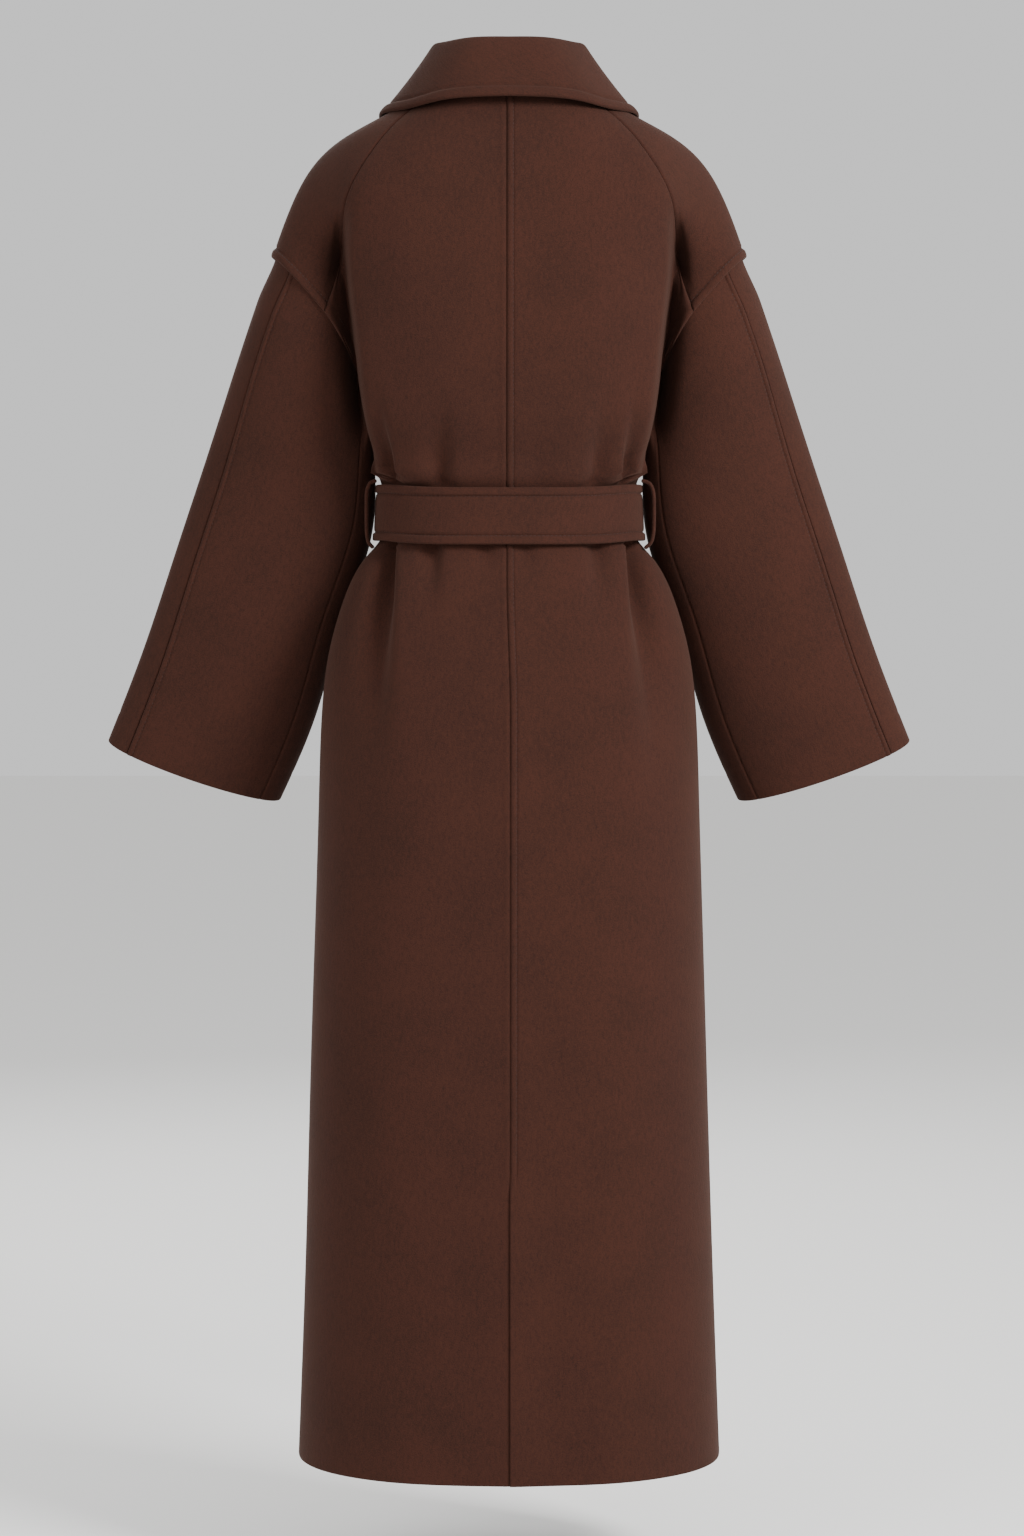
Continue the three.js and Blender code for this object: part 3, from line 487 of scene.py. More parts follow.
def normal_of(surface, u, v, step, out):
    """The outward normal: the cross product of two short steps on the surface."""
    du = surface(u + step[0], v) - surface(u - step[0], v)
    dv = surface(u, v + step[1]) - surface(u, v - step[1])
    return unit(np.cross(du, dv)) * out


def panel_normal(kind, side, u, v):
    """The outward normal of a panel on one side of the coat."""
    step = (1e-3, 1e-3) if kind == "sleeve" else (1e-3, 0.5)
    return normal_of(panel(kind, side), u, v, step, OUTWARD[kind] * side)


def measured(p):
    """How far each grid point is from the grid's left, right, lower and upper edge."""
    across = np.linalg.norm(np.diff(p, axis=1), axis=-1).cumsum(axis=1)
    across = np.hstack([np.zeros((len(p), 1)), across])
    up = np.linalg.norm(np.diff(p, axis=0), axis=-1).cumsum(axis=0)
    up = np.vstack([np.zeros((1, p.shape[1])), up])
    return across, across[:, -1:] - across, up, up[-1:] - up


def near_rows(low, high, count, near=NEAR):
    """Heights from low to high: close together at both ends, even between."""
    sign = np.sign(high - low)
    middle = np.linspace(low + sign * near[-1], high - sign * near[-1], count + 2)[1:-1]
    return np.concatenate([low + sign * near, middle, high - sign * near[::-1]])


def spread(surface, levels, low, high, count, near=NEAR):
    """The first parameter for each row's points: at fixed distances along the surface from both
    ends of the row, and even between."""
    samples = np.linspace(low, high, 161)
    p = surface(samples[None, :], levels[:, None])
    along = measured(p)[0]
    length = along[:, -1:]
    share = np.linspace(0, 1, count + 2)[None, 1:-1]
    middle = near[-1] + share * (length - 2 * near[-1])
    wanted = np.hstack([near + 0 * length, middle, length - near[::-1]])
    return np.stack([np.interp(w, a, samples) for w, a in zip(wanted, along)])


def grid_normal(p, out):
    """The normal of a grid of points, from the steps to the next points each way."""
    return unit(np.cross(np.gradient(p, axis=1), np.gradient(p, axis=0))) * out


def add_mesh(name, vertices, quads, places, material, nodes=()):
    """One Blender mesh from whole arrays: points in mm, quads of their numbers and flat places."""
    mesh = bpy.data.meshes.new(name)
    mesh.vertices.add(len(vertices))
    mesh.vertices.foreach_set("co", (vertices * MM).astype(np.float32).ravel())
    mesh.loops.add(quads.size)
    mesh.loops.foreach_set("vertex_index", quads.astype(np.int32).ravel())
    mesh.polygons.add(len(quads))
    mesh.polygons.foreach_set("loop_start", np.arange(0, quads.size, 4, dtype=np.int32))
    mesh.polygons.foreach_set("use_smooth", np.ones(len(quads), bool))
    layer = mesh.uv_layers.new(name="cloth")
    layer.uv.foreach_set("vector", (places[quads.ravel()] * MM).astype(np.float32).ravel())
    mesh.update(calc_edges=True)
    mesh.validate()
    mesh.materials.append(material)
    obj = bpy.data.objects.new(name, mesh)
    bpy.context.scene.collection.objects.link(obj)
    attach(obj, "root")
    if nodes:
        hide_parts(*nodes)
    return obj


def closed_quads(rows, columns):
    """The quads of an outer grid, of the inner grid behind it, and of the rim between them."""
    ids = np.arange(rows * columns).reshape(rows, columns)
    faces = np.stack([ids[:-1, :-1], ids[:-1, 1:], ids[1:, 1:], ids[1:, :-1]], -1).reshape(-1, 4)
    edge = np.concatenate([ids[0, :-1], ids[:-1, -1], ids[-1, :0:-1], ids[:0:-1, 0]])
    after = np.roll(edge, -1)
    rim = np.stack([after, edge, edge + ids.size, after + ids.size], -1)
    return np.concatenate([faces, faces[:, ::-1] + ids.size, rim])


def add_cloth(name, p, normal, relief, thickness, material, node_name=None):
    """A closed piece of cloth: the outer face is the surface moved out by the relief, the inner
    face is the same less the thickness, and both close on a half round at the edges. It stands
    for the node that has its name without the word cloth, if no other is given."""
    node_name = node_name or name.replace("_cloth", "")
    half = EDGE_ROUNDING * thickness / 2
    rise = np.clip(1 - np.minimum.reduce(measured(p)) / (thickness / 2), 0, 1)
    dip = half * (1 - np.sqrt(1 - rise**2))
    outer = p + normal * (relief - dip)[..., None]
    inner = p + normal * (relief - thickness + dip)[..., None]
    rows, columns = p.shape[:2]
    quads = closed_quads(rows, columns)
    facing = np.cross(np.gradient(p, axis=1), np.gradient(p, axis=0))
    if (facing * normal).sum() < 0:
        quads = quads[:, ::-1]
    across, _, up, _ = measured(p)
    places = np.stack([across, np.broadcast_to(up[:, columns // 2, None], across.shape)], -1)
    vertices = np.concatenate([outer.reshape(-1, 3), inner.reshape(-1, 3)])
    add_mesh(name, vertices, quads, np.tile(places.reshape(-1, 2), (2, 1)), material, [node_name])
    return outer


stitch_lines = {"coat_cloth": [], "collar_cloth": [], "belt_cloth": []}


def stitch(slot, points, normals, keep=None):
    """Keeps a line of points and normals that a row of stitches follows."""
    if keep is not None:
        points, normals = points[keep], normals[keep]
    stitch_lines[slot].append((points, normals))


def stitch_grid(line, pitch=4.2, length=3.0, radius=0.42):
    """Stitches along a line: each a short rounded rod, its radius the square root of one less the
    square of its place along its length, laid along the line and sunk by a third of its radius."""
    points, normals = line
    step = np.linalg.norm(np.diff(points, axis=0), axis=-1)
    along = np.concatenate([[0], step.cumsum()])
    middles = np.arange(pitch / 2, along[-1] - pitch / 2, pitch)

    def put(values, at):
        return np.stack([np.interp(at, along, values[:, k]) for k in range(3)], -1)

    centre = put(points, middles)
    forward = unit(put(points, middles + 0.5) - put(points, middles - 0.5))
    up = unit(put(normals, middles))
    aside = unit(np.cross(forward, up))
    t = np.sin(np.linspace(-1, 1, 5) * math.pi / 2) * 0.985
    turn = np.arange(6) * math.pi / 3
    x = (t * length / 2)[:, None] + 0 * turn
    r = radius * np.sqrt(1 - t**2)[:, None]
    y, z = r * np.cos(turn), r * np.sin(turn) - 0.3 * radius
    local = np.stack([x, y, z], -1).reshape(1, -1, 3)
    rods = centre[:, None] + local[..., 0:1] * forward[:, None]
    rods = rods + local[..., 1:2] * aside[:, None] + local[..., 2:3] * up[:, None]
    i, j = np.meshgrid(np.arange(6), np.arange(4))
    a, b = j * 6 + i, j * 6 + (i + 1) % 6
    sides = np.stack([a, b, b + 6, a + 6], -1).reshape(-1, 4)
    caps = np.array([[3, 2, 1, 0], [0, 5, 4, 3], [24, 25, 26, 27], [27, 28, 29, 24]])
    quads = np.concatenate([sides, caps])
    quads = (quads[None] + 30 * np.arange(len(middles))[:, None, None]).reshape(-1, 4)
    return rods.reshape(-1, 3), quads


def add_stitches(slot, material):
    """All the stitches of one finish as one piece."""
    vertices, quads, count = [], [], 0
    for line in stitch_lines[slot]:
        v, q = stitch_grid(line)
        vertices.append(v)
        quads.append(q + count)
        count += len(v)
    vertices = np.concatenate(vertices)
    name = "stitches_" + slot.split("_")[0]
    return add_mesh(name, vertices, np.concatenate(quads), vertices[:, :2], material)


def linear(hex_colour):
    """A linear RGBA colour from an sRGB hex one."""
    srgb = [int(hex_colour[k : k + 2], 16) / 255 for k in (0, 2, 4)]
    return [c / 12.92 if c <= 0.04045 else ((c + 0.055) / 1.055) ** 2.4 for c in srgb] + [1]


def node(tree, kind, inputs=(), **settings):
    """Adds a shader node with its settings; an input given as a socket is linked."""
    made = tree.nodes.new(kind)
    for key, value in settings.items():
        setattr(made, key, value)
    for key, value in dict(inputs).items():
        if isinstance(value, bpy.types.NodeSocket):
            tree.links.new(value, made.inputs[key])
        else:
            made.inputs[key].default_value = value
    return made


def wool(name, dark, light):
    """Felted double-faced wool: matt, with a soft nap that mottles it, a faint diagonal from the
    twill under the nap, and a slight sheen where the fibres catch the light."""
    material = bpy.data.materials.new(name)
    material.use_nodes = True
    tree = material.node_tree
    tree.nodes.clear()
    place = node(tree, "ShaderNodeTexCoord").outputs["Object"]
    flat = node(tree, "ShaderNodeUVMap", uv_map="cloth").outputs["UV"]

    def noise(vector, scale, detail):
        inputs = {"Vector": vector, "Scale": scale, "Detail": detail}
        return node(tree, "ShaderNodeTexNoise", inputs).outputs[0]

    def weighted(value, weight, plus):
        inputs = {0: value, 1: weight, 2: plus}
        return node(tree, "ShaderNodeMath", inputs, operation="MULTIPLY_ADD").outputs[0]

    # Patches of brushed nap, 50 to 90 mm
    nap = noise(place, 15.0, 3.0)
    # Twill lines, 3 mm apart and 8 mm long, on the diagonal of the cut piece
    slant = {"Vector": flat, "Rotation": (0, 0, math.radians(55)), "Scale": (300, 120, 1)}
    twill = noise(node(tree, "ShaderNodeMapping", slant).outputs[0], 1.0, 1.5)
    # Fibres, about 1 mm
    fibre = noise(place, 900.0, 2.0)
    tone = weighted(nap, 0.22, weighted(twill, 0.22, weighted(fibre, 0.62, 0.0)))
    tone_range = {"Value": tone, "From Min": 0.38, "From Max": 0.62}
    share = node(tree, "ShaderNodeMapRange", tone_range).outputs[0]
    tones = {0: share, 6: linear(dark), 7: linear(light)}
    colour = node(tree, "ShaderNodeMix", tones, data_type="RGBA")
    relief = {"Strength": 0.5, "Distance": 0.0006, "Height": weighted(twill, 0.6, fibre)}
    bump = node(tree, "ShaderNodeBump", relief)
    shader = node(
        tree,
        "ShaderNodeBsdfPrincipled",
        {
            "Base Color": colour.outputs[2],
            "Roughness": 0.95,
            "Specular IOR Level": 0.2,
            "Sheen Weight": 0.08,
            "Sheen Roughness": 0.5,
            "Sheen Tint": linear("B98E78"),
            "Normal": bump.outputs[0],
        },
    )
    node(tree, "ShaderNodeOutputMaterial", {"Surface": shader.outputs[0]})
    return material


def plain(name, colour, roughness):
    """An even matt finish."""
    material = bpy.data.materials.new(name)
    material.use_nodes = True
    shader = material.node_tree.nodes["Principled BSDF"]
    shader.inputs["Base Color"].default_value = linear(colour)
    shader.inputs["Roughness"].default_value = roughness
    return material


WOOL_COLOURS = ("25110A", "351A11")
coat_wool = wool("felted_wool", *WOOL_COLOURS)
collar_wool = wool("felted_wool_collar", *WOOL_COLOURS)
belt_wool = wool("felted_wool_belt", *WOOL_COLOURS)
thread = plain("polyester_thread", "26120C", 0.8)


def seam_line(d):
    """A plain sewn edge turns down into the seam."""
    return -1.2 * bell(d, 1.7)


def welt(d):
    """A stitched-down seam allowance: the cloth over it stands 1.2 mm out for 5 mm, and a row of
    topstitching pulls it down at 6.5 mm."""
    raised = smoothstep(d, 0, 1.5) - smoothstep(d, 5, 6.8)
    return seam_line(d) + 1.2 * raised - 0.8 * bell(d - 6.5, 1.0)


def lip(d):
    """The armhole's turned edge: a roll 9 mm wide, then the row of stitches that holds it."""
    rise = np.sqrt(np.clip(1 - ((d - 4.6) / 4.8) ** 2, 0, 1))
    return 1.9 * rise - 0.9 * bell(d - 10.2, 1.3)


def centre_line(p):
    """The centre back seam wanders: 2 mm to the wearer's left above the hip, 1.5 mm to the right
    below it."""
    shift = mix(-1.5, 2, smoothstep(p[..., 2], -620, -480))
    p[..., 0] += shift * bell(p[..., 0], 45)
    return p


def waves(x, z):
    """Slow unevenness of hanging cloth: a few long sine waves."""
    slow = np.sin(x / 41 + z / 260 + 0.6) * np.sin(z / 170 + 1.1) * 0.9
    return slow + 0.6 * np.sin(x / 23 - z / 140) * np.sin(z / 95 + x / 150)


def add_back(name, side):
    """A back piece: its surface with the centre seam, the closed vent, the edge over the armhole
    and the valley beside the arm."""
    surface = panel("back", side)
    levels = near_rows(HEM_Z, NECK_LEVEL, 200)
    u = spread(surface, levels, -0.001, 1.0005, 112)
    v = levels[:, None] + 0 * u
    p = surface(u, v)
    normal = panel_normal("back", side, u, v)
    normal[:, 0, 0] = 0
    across, away, _, _ = measured(p)
    other = np.where(
        v[:, -1:, None] >= SEAM_LEVEL,
        panel_normal("shoulder", side, -1.0, np.maximum(v[:, -1:], SEAM_LEVEL)),
        panel_normal("front", side, 1.0, v[:, -1:]),
    )
    joined = (v[:, -1:] >= SEAM_LEVEL) | (v[:, -1:] <= ARM_LEVEL)
    share = np.where(joined, bell(away, 6.0), 0)[..., None]
    normal = unit(normal + other * share)
    p = centre_line(p)
    relief = 0.25 * waves(p[..., 0], p[..., 2])
    vent = smoothstep(-v, -VENT_TOP_Z, -VENT_TOP_Z + 30)
    if side < 0:
        relief += mix(welt(across), 2.0 * (1 - smoothstep(across, 3, 45)), vent)
    else:
        relief += mix(seam_line(across) + 0.5 * bell(across - 4, 3), -0.8 * bell(across, 3), vent)
    shoulder = smoothstep(v, SEAM_LEVEL - 10, SEAM_LEVEL + 10)
    under = smoothstep(-v, -ARM_LEVEL - 4, -ARM_LEVEL + 6)
    relief += (shoulder + under) * seam_line(away)
    relief += (1 - shoulder) * (1 - under) * lip(away)
    p = arm_valley(p, (np.where(v[:, -1:] > ARM_LEVEL, valley_depth(p[:, -1:]), 0), away))
    outer = add_cloth(name, p, unit(normal), relief, CLOTH, coat_wool)
    if side < 0:
        stitch("coat_cloth", outer[:, STITCH_COLUMN], normal[:, STITCH_COLUMN], levels > VENT_TOP_Z)
    column = -1 - LIP_COLUMN
    arm = (levels > ARM_LEVEL + 6) & (levels < SEAM_LEVEL)
    stitch("coat_cloth", outer[:, column], normal[:, column], arm)


def add_front(name, side):
    """A front piece: its surface with the shoulder and side seams and the armhole's edge."""
    surface = panel("front", side)
    levels = near_rows(HEM_Z, NECK_LEVEL, 150)
    u = spread(surface, levels, 0, 1.0005, 34)
    v = levels[:, None] + 0 * u
    p = surface(u, v)
    normal = panel_normal("front", side, u, v)
    across, away, _, _ = measured(p)
    other = np.where(
        v[:, -1:, None] >= SEAM_LEVEL,
        panel_normal("shoulder", side, 1.0, np.maximum(v[:, -1:], SEAM_LEVEL)),
        panel_normal("back", side, 1.0, v[:, -1:]),
    )
    joined = (v[:, -1:] >= SEAM_LEVEL) | (v[:, -1:] <= ARM_LEVEL)
    normal = unit(normal + other * np.where(joined, bell(away, 6.0), 0)[..., None])
    below = smoothstep(-v, 470, 500)
    relief = below * 0.2 * waves(p[..., 0], p[..., 2] + 90) * smoothstep(across, 60, 90)
    shoulder = smoothstep(v, SEAM_LEVEL - 10, SEAM_LEVEL + 10)
    under = smoothstep(-v, -ARM_LEVEL - 4, -ARM_LEVEL + 6)
    relief += (shoulder + under) * seam_line(away)
    relief += (1 - shoulder) * (1 - under) * lip(away)
    outer = add_cloth(name, p, normal, relief, CLOTH, coat_wool)
    column = -1 - LIP_COLUMN
    arm = (levels > ARM_LEVEL + 6) & (levels < SEAM_LEVEL)
    stitch("coat_cloth", outer[:, column], normal[:, column], arm)


def add_shoulder(name, side):
    """A shoulder piece: its surface between the two long seams, with the armhole's edge below."""
    surface = panel("shoulder", side)
    levels = near_rows(SEAM_LEVEL + 0.1, NECK_LEVEL, 70)
    u = spread(surface, levels, -1.001, 1.001, 40)
    v = levels[:, None] + 0 * u
    p = surface(u, v)
    normal = panel_normal("shoulder", side, u, v)
    across, away, up, _ = measured(p)
    back = panel_normal("back", side, 1.0, v[:, :1])
    front = panel_normal("front", side, 1.0, v[:, -1:])
    normal = unit(normal + back * bell(across, 6.0)[..., None] + front * bell(away, 6.0)[..., None])
    relief = (seam_line(across) + seam_line(away)) * smoothstep(up, 0, 12) + lip(up)
    p = arm_valley(p, (valley_depth(p[:1]), up), (valley_depth(p[:, :1]), across))
    outer = add_cloth(name, p, normal, relief, CLOTH, coat_wool)
    stitch("coat_cloth", outer[LIP_COLUMN], normal[LIP_COLUMN])


def armhole_normal(side, angle):
    """The body's own normal along the armhole, at an angle round it."""
    turn = np.where(angle > math.pi, angle - 2 * math.pi, angle)
    size = np.abs(turn)
    top = panel_normal("shoulder", side, np.clip(-turn / RAGLAN_END, -1, 1), SEAM_LEVEL + 0.6)
    level = arm_level(np.clip(size, RAGLAN_END, math.pi))
    back = panel_normal("back", side, 1.0, level)
    front = panel_normal("front", side, 1.0, level)
    low = np.where((turn > 0)[..., None], back, front)
    return np.where((size <= RAGLAN_END)[..., None], top, low)


def sleeve_tuck(side, angle):
    """The way in under the armhole's edge: against both walls where they bend apart, and square
    to the sleeve in the fold of the underarm."""
    sleeve_way = panel_normal("sleeve", side, angle, 0.002)
    body_way = armhole_normal(side, angle)
    bend = (sleeve_way * body_way).sum(axis=-1)
    share = smoothstep(bend, 0, 0.5)
    way = sleeve_way + body_way * share[..., None]
    return -way * (SLEEVE_TUCK / (1 + share * bend))[..., None]


def add_sleeve(name, side, start, end, count, under_piece):
    """A sleeve piece between two of its seams, tucked in at the armhole."""
    base = panel("sleeve", side)

    def surface(angle, at):
        tuck = sleeve_tuck(side, angle) * (1 - smoothstep(at, 0, 0.09))[..., None]
        return base(angle, at) + tuck

    places = near_rows(-0.012, 1, 130, NEAR / SLEEVE_LENGTH)
    angle = spread(base, places, start - 0.001, end + 0.001, count)
    at = places[:, None] + 0 * angle
    p = surface(angle, at)
    normal = panel_normal("sleeve", side, angle, at)
    across, away, _, down = measured(p)
    outer_seam = welt(across) if under_piece else seam_line(across)
    relief = outer_seam + 0.25 * seam_line(away) - 0.4 * bell(down - 32, 1.6)
    p = arm_valley(p, (valley_depth(base(angle, 0 * at)), np.maximum(0, at) * SLEEVE_LENGTH))
    outer = add_cloth(name, p, normal, relief, CLOTH, coat_wool)
    if under_piece:
        stitch("coat_cloth", outer[:, STITCH_COLUMN], normal[:, STITCH_COLUMN], places > 0.03)


def add_collar(name):
    """The collar: up the stand from the neck seam, over the fold and down to its outer edge,
    which has a rolled edge and, inside it, the groove of a row of topstitching without the stitches
    themselves."""
    profile = near_rows(0, 1, 60, NEAR / 118)
    across = np.linspace(-1, 1, 181)
    u, v = across[None, :] + 0 * profile[:, None], profile[:, None] + 0 * across[None, :]

    def surface(u, v):
        p = collar_base(v, np.abs(u))
        p[..., 0] *= np.where(u < 0, -1, 1)
        return p

    p = surface(u, v)
    normal = normal_of(surface, u, v, (1e-3, 1e-3), 1)
    middle = np.abs(u) < 1e-6
    normal[..., 0] = np.where(middle, 0, normal[..., 0])
    normal = unit(normal)
    left, right, _, down = measured(p)
    edge = np.minimum(np.minimum(left, right), down)
    roll = np.sqrt(np.clip(1 - ((edge - 5.4) / 6.2) ** 2, 0, 1))
    relief = 2.0 * roll - 1.2 * bell(edge - 12.6, 1.6)
    add_cloth(name, p, normal, relief, DOUBLED, collar_wool, "collar")


# The lapel's bend round the front's edge: out from the edge and out from the front
ROLL = np.array([[1.3, -CLOTH], [3.8, -1.9], [5.5, 0.6], [4.9, 3.8], [2.5, 5.9]])
LAPEL_COLUMNS = 11
lapel_reach = spline([0, 0.25, 0.5, 0.72, 0.86, 1], [0.03, 0.26, 0.52, 0.72, 0.78, 0.75])
LAPEL_LOW_Z = -353


def add_lapel(name, side):
    """The front's cloth, rolled out over its own edge and laid on the front: the first points go
    round the roll, the rest lie on the front panel, 6.4 mm out."""
    front = panel("front", side)
    rise = near_rows(0, 1, 60, NEAR / 330)[:, None]
    edge_level = mix(LAPEL_LOW_Z, NECK_LEVEL, rise)
    zero = 0 * edge_level
    edge = front(zero, edge_level)
    upward = unit(front(zero, edge_level + 0.5) - front(zero, edge_level - 0.5))
    up = panel_normal("front", side, zero, edge_level)
    across = np.cross(up, upward) * side
    roll = edge + across * ROLL[None, :, 0:1] + up * ROLL[None, :, 1:2]
    steps = np.arange(len(ROLL), LAPEL_COLUMNS + 1)
    share = ((steps - len(ROLL) + 0.3) / (LAPEL_COLUMNS - len(ROLL) + 0.3))[None, :]
    u = lapel_reach(rise) * share
    level = mix(LAPEL_LOW_Z, NECK_LEVEL - 80 * share**1.3, rise)
    laid = front(u, level) + panel_normal("front", side, u, level) * LAPEL_LIFT
    path = np.concatenate([roll, laid], axis=1)
    bend_end = len(ROLL)
    fine = np.concatenate([np.linspace(0, bend_end, 22)[:-1], np.linspace(bend_end, LAPEL_COLUMNS, 40)])
    weights = spline_weights(np.arange(LAPEL_COLUMNS + 1), fine)
    p = np.einsum("ik,jkc->jic", weights, path)
    normal = grid_normal(p, side)
    _, outer_edge, _, high_edge = measured(p)
    relief = -0.6 * bell(np.minimum(outer_edge, high_edge) - 8, 1.2)
    add_cloth(name, p, normal, relief, CLOTH, coat_wool)


BELT_NEAR = np.array([0, 0.25, 0.7, 1.3, 2.1, 3.2, 4.6, 6.4, 7.4, 8, 8.6, 9.2, 10.2, 13])
BELT_STITCH_ROW = 10
BELT_HALF_GAP = 3  # half of the opening in front, behind the knot


def add_belt_band(name):
    """The belt: a squared oval round the waist whose size goes evenly from its bottom to its top
    edge, 4 mm lower behind."""
    start = math.asin(BELT_HALF_GAP / BELT_OVALS[1, 0])
    angle = np.linspace(start, 2 * math.pi - start, 361)[None, :]
    width = BELT_TOP_Z - BELT_BOTTOM_Z
    height = near_rows(0, width, 12, BELT_NEAR)[:, None]
    size = mix(BELT_OVALS[0], BELT_OVALS[1], (height / width)[..., None])
    x, y = np.sin(angle), -np.cos(angle)
    power = 2 / RING_POWER
    depth = np.where(y > 0, size[..., 1], size[..., 2])
    p = stack(
        size[..., 0] * np.sign(x) * np.abs(x) ** power,
        depth * np.sign(y) * np.abs(y) ** power,
        BELT_BOTTOM_Z + height + 0 * x,
    )
    p[..., 2] -= 4 * smoothstep(p[..., 1], 40, 95)
    normal = grid_normal(p, 1)
    edge = np.minimum(height, width - height)
    relief = 1.0 * (1 - smoothstep(edge, 7, 9)) - 1.5 * bell(edge - 8.6, 1.2)
    relief = relief + 0.25 * np.sin(9 * angle + 1) * np.sin(5 * angle) * smoothstep(edge, 8, 20)
    outer = add_cloth(name, p, normal, relief + 0 * x, DOUBLED, belt_wool)
    for row in (BELT_STITCH_ROW, -1 - BELT_STITCH_ROW):
        stitch("belt_cloth", outer[row], normal[row])


def add_knot(name):
    """The knot: a square pulled in at its corners, its swelling the square root of one less the
    fourth powers of both directions, with the creases of the wrap across it."""
    a = np.linspace(-1, 1, KNOT_POINTS)[None, :]
    b = np.linspace(-1, 1, KNOT_POINTS)[:, None]
    x = KNOT["half_width"] * a * np.sqrt(1 - 0.3 * b * b)
    z = (BELT_TOP_Z + BELT_BOTTOM_Z) / 2 + KNOT["half_height"] * b * np.sqrt(1 - 0.3 * a * a)
    swell = np.sqrt((1 - a**4) * (1 - b**4))
    crease = 4 * bell(a - 0.35 * b - 0.3, 0.16) + 2 * bell(a + 0.5 * b + 0.35, 0.12)
    y = KNOT["back"] - KNOT["rim"] - (KNOT["depth"] - KNOT["rim"]) * swell + crease * swell
    outer = stack(x, y, z).reshape(-1, 3)
    inner = stack(x, KNOT["back"], z).reshape(-1, 3)
    quads = closed_quads(KNOT_POINTS, KNOT_POINTS)
    vertices = np.concatenate([outer, inner])
    add_mesh(name, vertices, quads, vertices[:, [0, 2]], belt_wool, ["belt_knot"])


# How far the belt ends hang in front of the centre: height and depth
END_DEPTHS = np.array([[-900, 143], [-700, 135], [-620, 130], [-560, 123.5], [-515, 117.5], [-449, 112]])
end_depth = spline(END_DEPTHS[:, 0], END_DEPTHS[:, 1])


def add_belt_end(name, top_x, low_x, low_z):
    """A belt end: it hangs from the knot, lies on the skirt's oval and widens as it leaves."""
    top_z = BELT_BOTTOM_Z - 0.6

    def surface(u, v):
        z = mix(low_z, top_z, v)
        drop = (top_z - z) / (top_z - low_z)
        half = mix(12, 21, smoothstep(drop, 0, 0.3))
        x = mix(top_x, low_x, drop) + half * u
        y = -oval_depth(x, ring_width(z), end_depth(z))
        return stack(x, y + 1.5 * np.sin(5 * u) * smoothstep(drop, 0, 0.2), z)

    v = near_rows(0, 1, 60, BELT_NEAR / (top_z - low_z))
    u = spread(surface, v, -1, 1, 10, BELT_NEAR * 0.7)
    v = v[:, None] + 0 * u
    p = surface(u, v)
    normal = normal_of(surface, u, v, (1e-3, 1e-3), 1)
    left, right, low, _ = measured(p)
    relief = -0.6 * bell(np.minimum(np.minimum(left, right), low) - 6, 1.0)
    add_cloth(name, p, normal, relief, DOUBLED, belt_wool)


LOOP_NEAR = np.array([0, 0.3, 0.9, 1.6, 2.4])


def add_loop(name, side):
    """A belt loop: a narrow folded strip along a spline that stands out over the belt."""
    path = np.array(LOOPS["left" if side > 0 else "right"])
    line = spline(np.arange(len(path)), stack(path[:, 0] * side, 0, path[:, 1]))

    def surface(u, v):
        p = line(v)
        p[..., 1] = u
        return p

    near = LOOP_NEAR
    first, last = LOOP_EDGES_Y
    u = np.concatenate([first + near, [17, 18, 19], last - near[::-1]])[None, :]
    v = near_rows(0, len(path) - 1, 60, near / 14)[:, None]
    u, v = u + 0 * v, v + 0 * u
    p = surface(u, v)
    normal = normal_of(surface, u, v, (1e-3, 1e-3), -side)
    relief = 0.3 * bell(u - 18, 2.5)
    add_cloth(name, p, normal, relief, LOOP_THICKNESS, belt_wool)


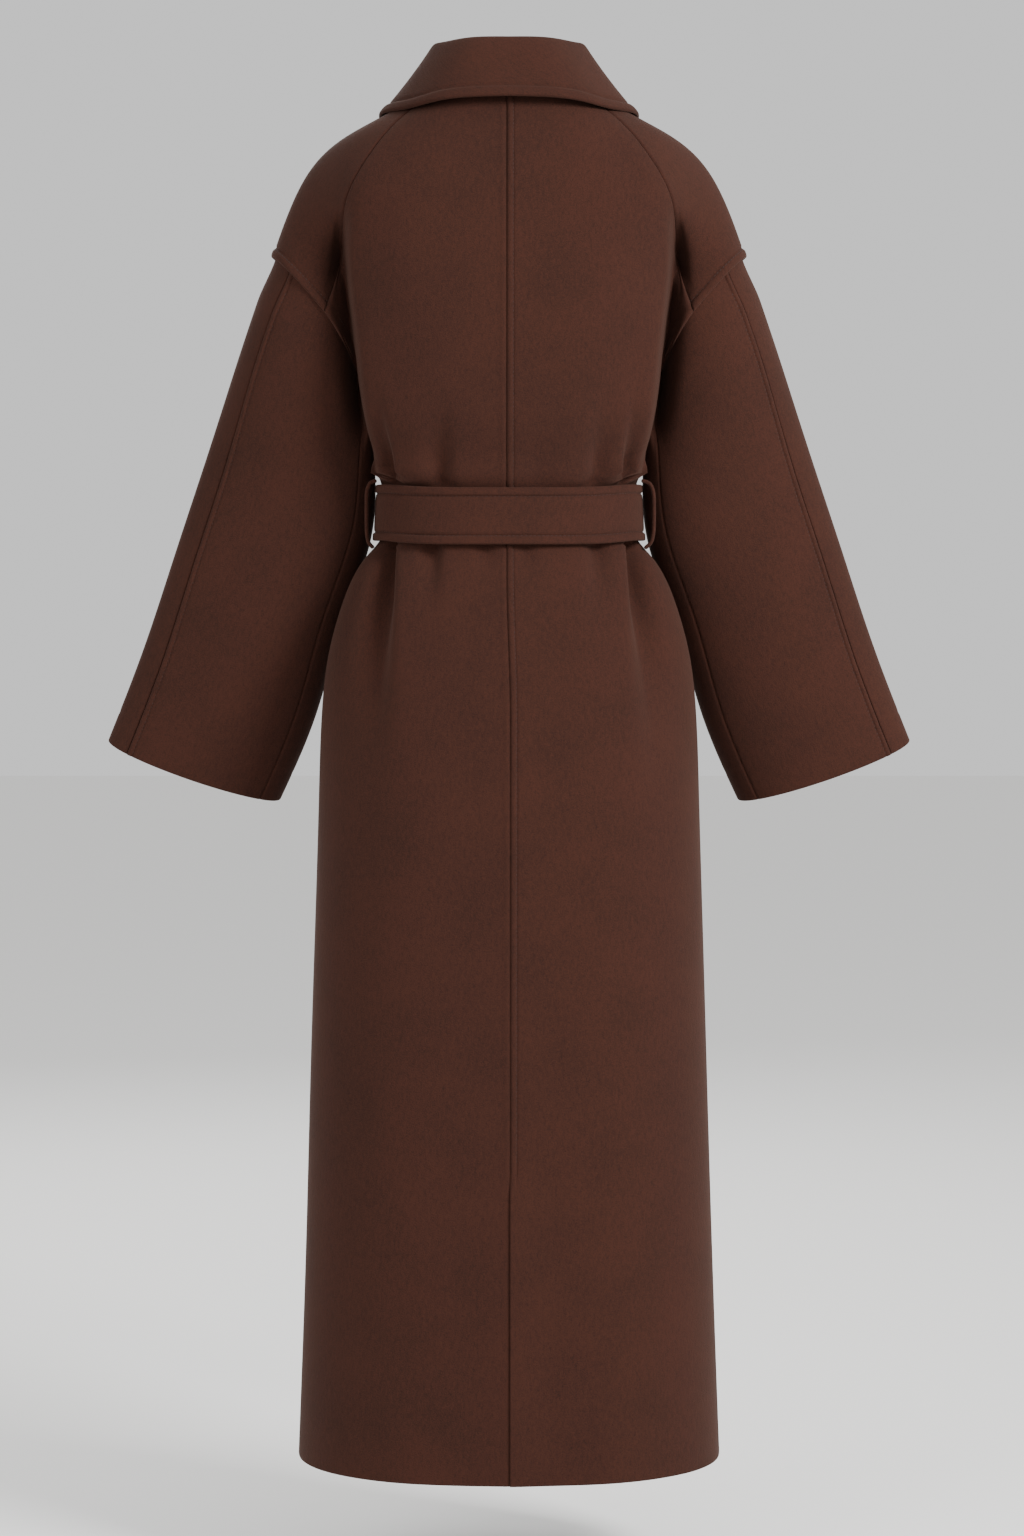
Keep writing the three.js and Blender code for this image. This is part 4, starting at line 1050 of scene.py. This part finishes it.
for label, side in SIDES:
    add_back(f"back_{label}_cloth", side)
    add_front(f"front_{label}_cloth", side)
    add_shoulder(f"shoulder_{label}_cloth", side)
    add_sleeve(f"sleeve_under_{label}_cloth", side, OUTER_SEAM, INNER_SEAM, 40, True)
    add_sleeve(f"sleeve_upper_{label}_cloth", side, INNER_SEAM, OUTER_SEAM + 2 * math.pi, 60, False)
    add_lapel(f"lapel_{label}_cloth", side)
    add_belt_end(f"belt_end_{label}_cloth", *BELT_ENDS[label])
    add_loop(f"belt_loop_{label}_cloth", side)
add_collar("collar_cloth_piece")
add_belt_band("belt_band_cloth")
add_knot("belt_knot_cloth")
coat_stitches = add_stitches("coat_cloth", thread)
belt_stitches = add_stitches("belt_cloth", thread)

# Plain pale floor, soft light and the camera at the photo's angle
bpy.ops.mesh.primitive_plane_add(size=30, location=(0, 0, -1.48))
floor = bpy.context.object
floor.name = "floor"
floor.data.materials.append(plain("pale_floor", "F4F3F1", 0.9))

world = bpy.data.worlds.new("studio")
bpy.context.scene.world = world
world.use_nodes = True
background = world.node_tree.nodes["Background"]
background.inputs["Color"].default_value = linear("FFFFFF")
background.inputs["Strength"].default_value = 0.85


def add_light(name, place, target, size, power):
    """A square soft light that faces a point: size in metres, power in watts."""
    data = bpy.data.lights.new(name, "AREA")
    data.size = size
    data.energy = power
    light = bpy.data.objects.new(name, data)
    bpy.context.scene.collection.objects.link(light)
    way = np.array(target) - np.array(place)
    light.location = place
    tilt = math.atan2(math.hypot(way[0], way[1]), -way[2])
    light.rotation_euler = (tilt, 0, math.atan2(way[1], way[0]) - math.pi / 2)


add_light("key", (-2.3, 2.1, 1.1), (0, 0, -0.6), 1.2, 200)
add_light("fill", (2.2, 2.2, 0.4), (0, 0, -0.7), 2.0, 42)
add_light("front", (0.6, -2.8, 1.0), (0, 0, -0.6), 2.0, 50)

# The photo is taken from behind, read as 4 m away and level with the belt
CAMERA_PLACE = (-0.003, 4.0, -0.47)
CAMERA_LENS = 93.94
CAMERA_PITCH = 2.93
camera_data = bpy.data.cameras.new("camera")
camera_data.lens = CAMERA_LENS
camera_data.sensor_width = 36
camera_data.clip_end = 60
camera = bpy.data.objects.new("camera", camera_data)
bpy.context.scene.collection.objects.link(camera)
camera.location = CAMERA_PLACE
camera.rotation_euler = (math.radians(90 - CAMERA_PITCH), 0, math.pi)
bpy.context.scene.camera = camera
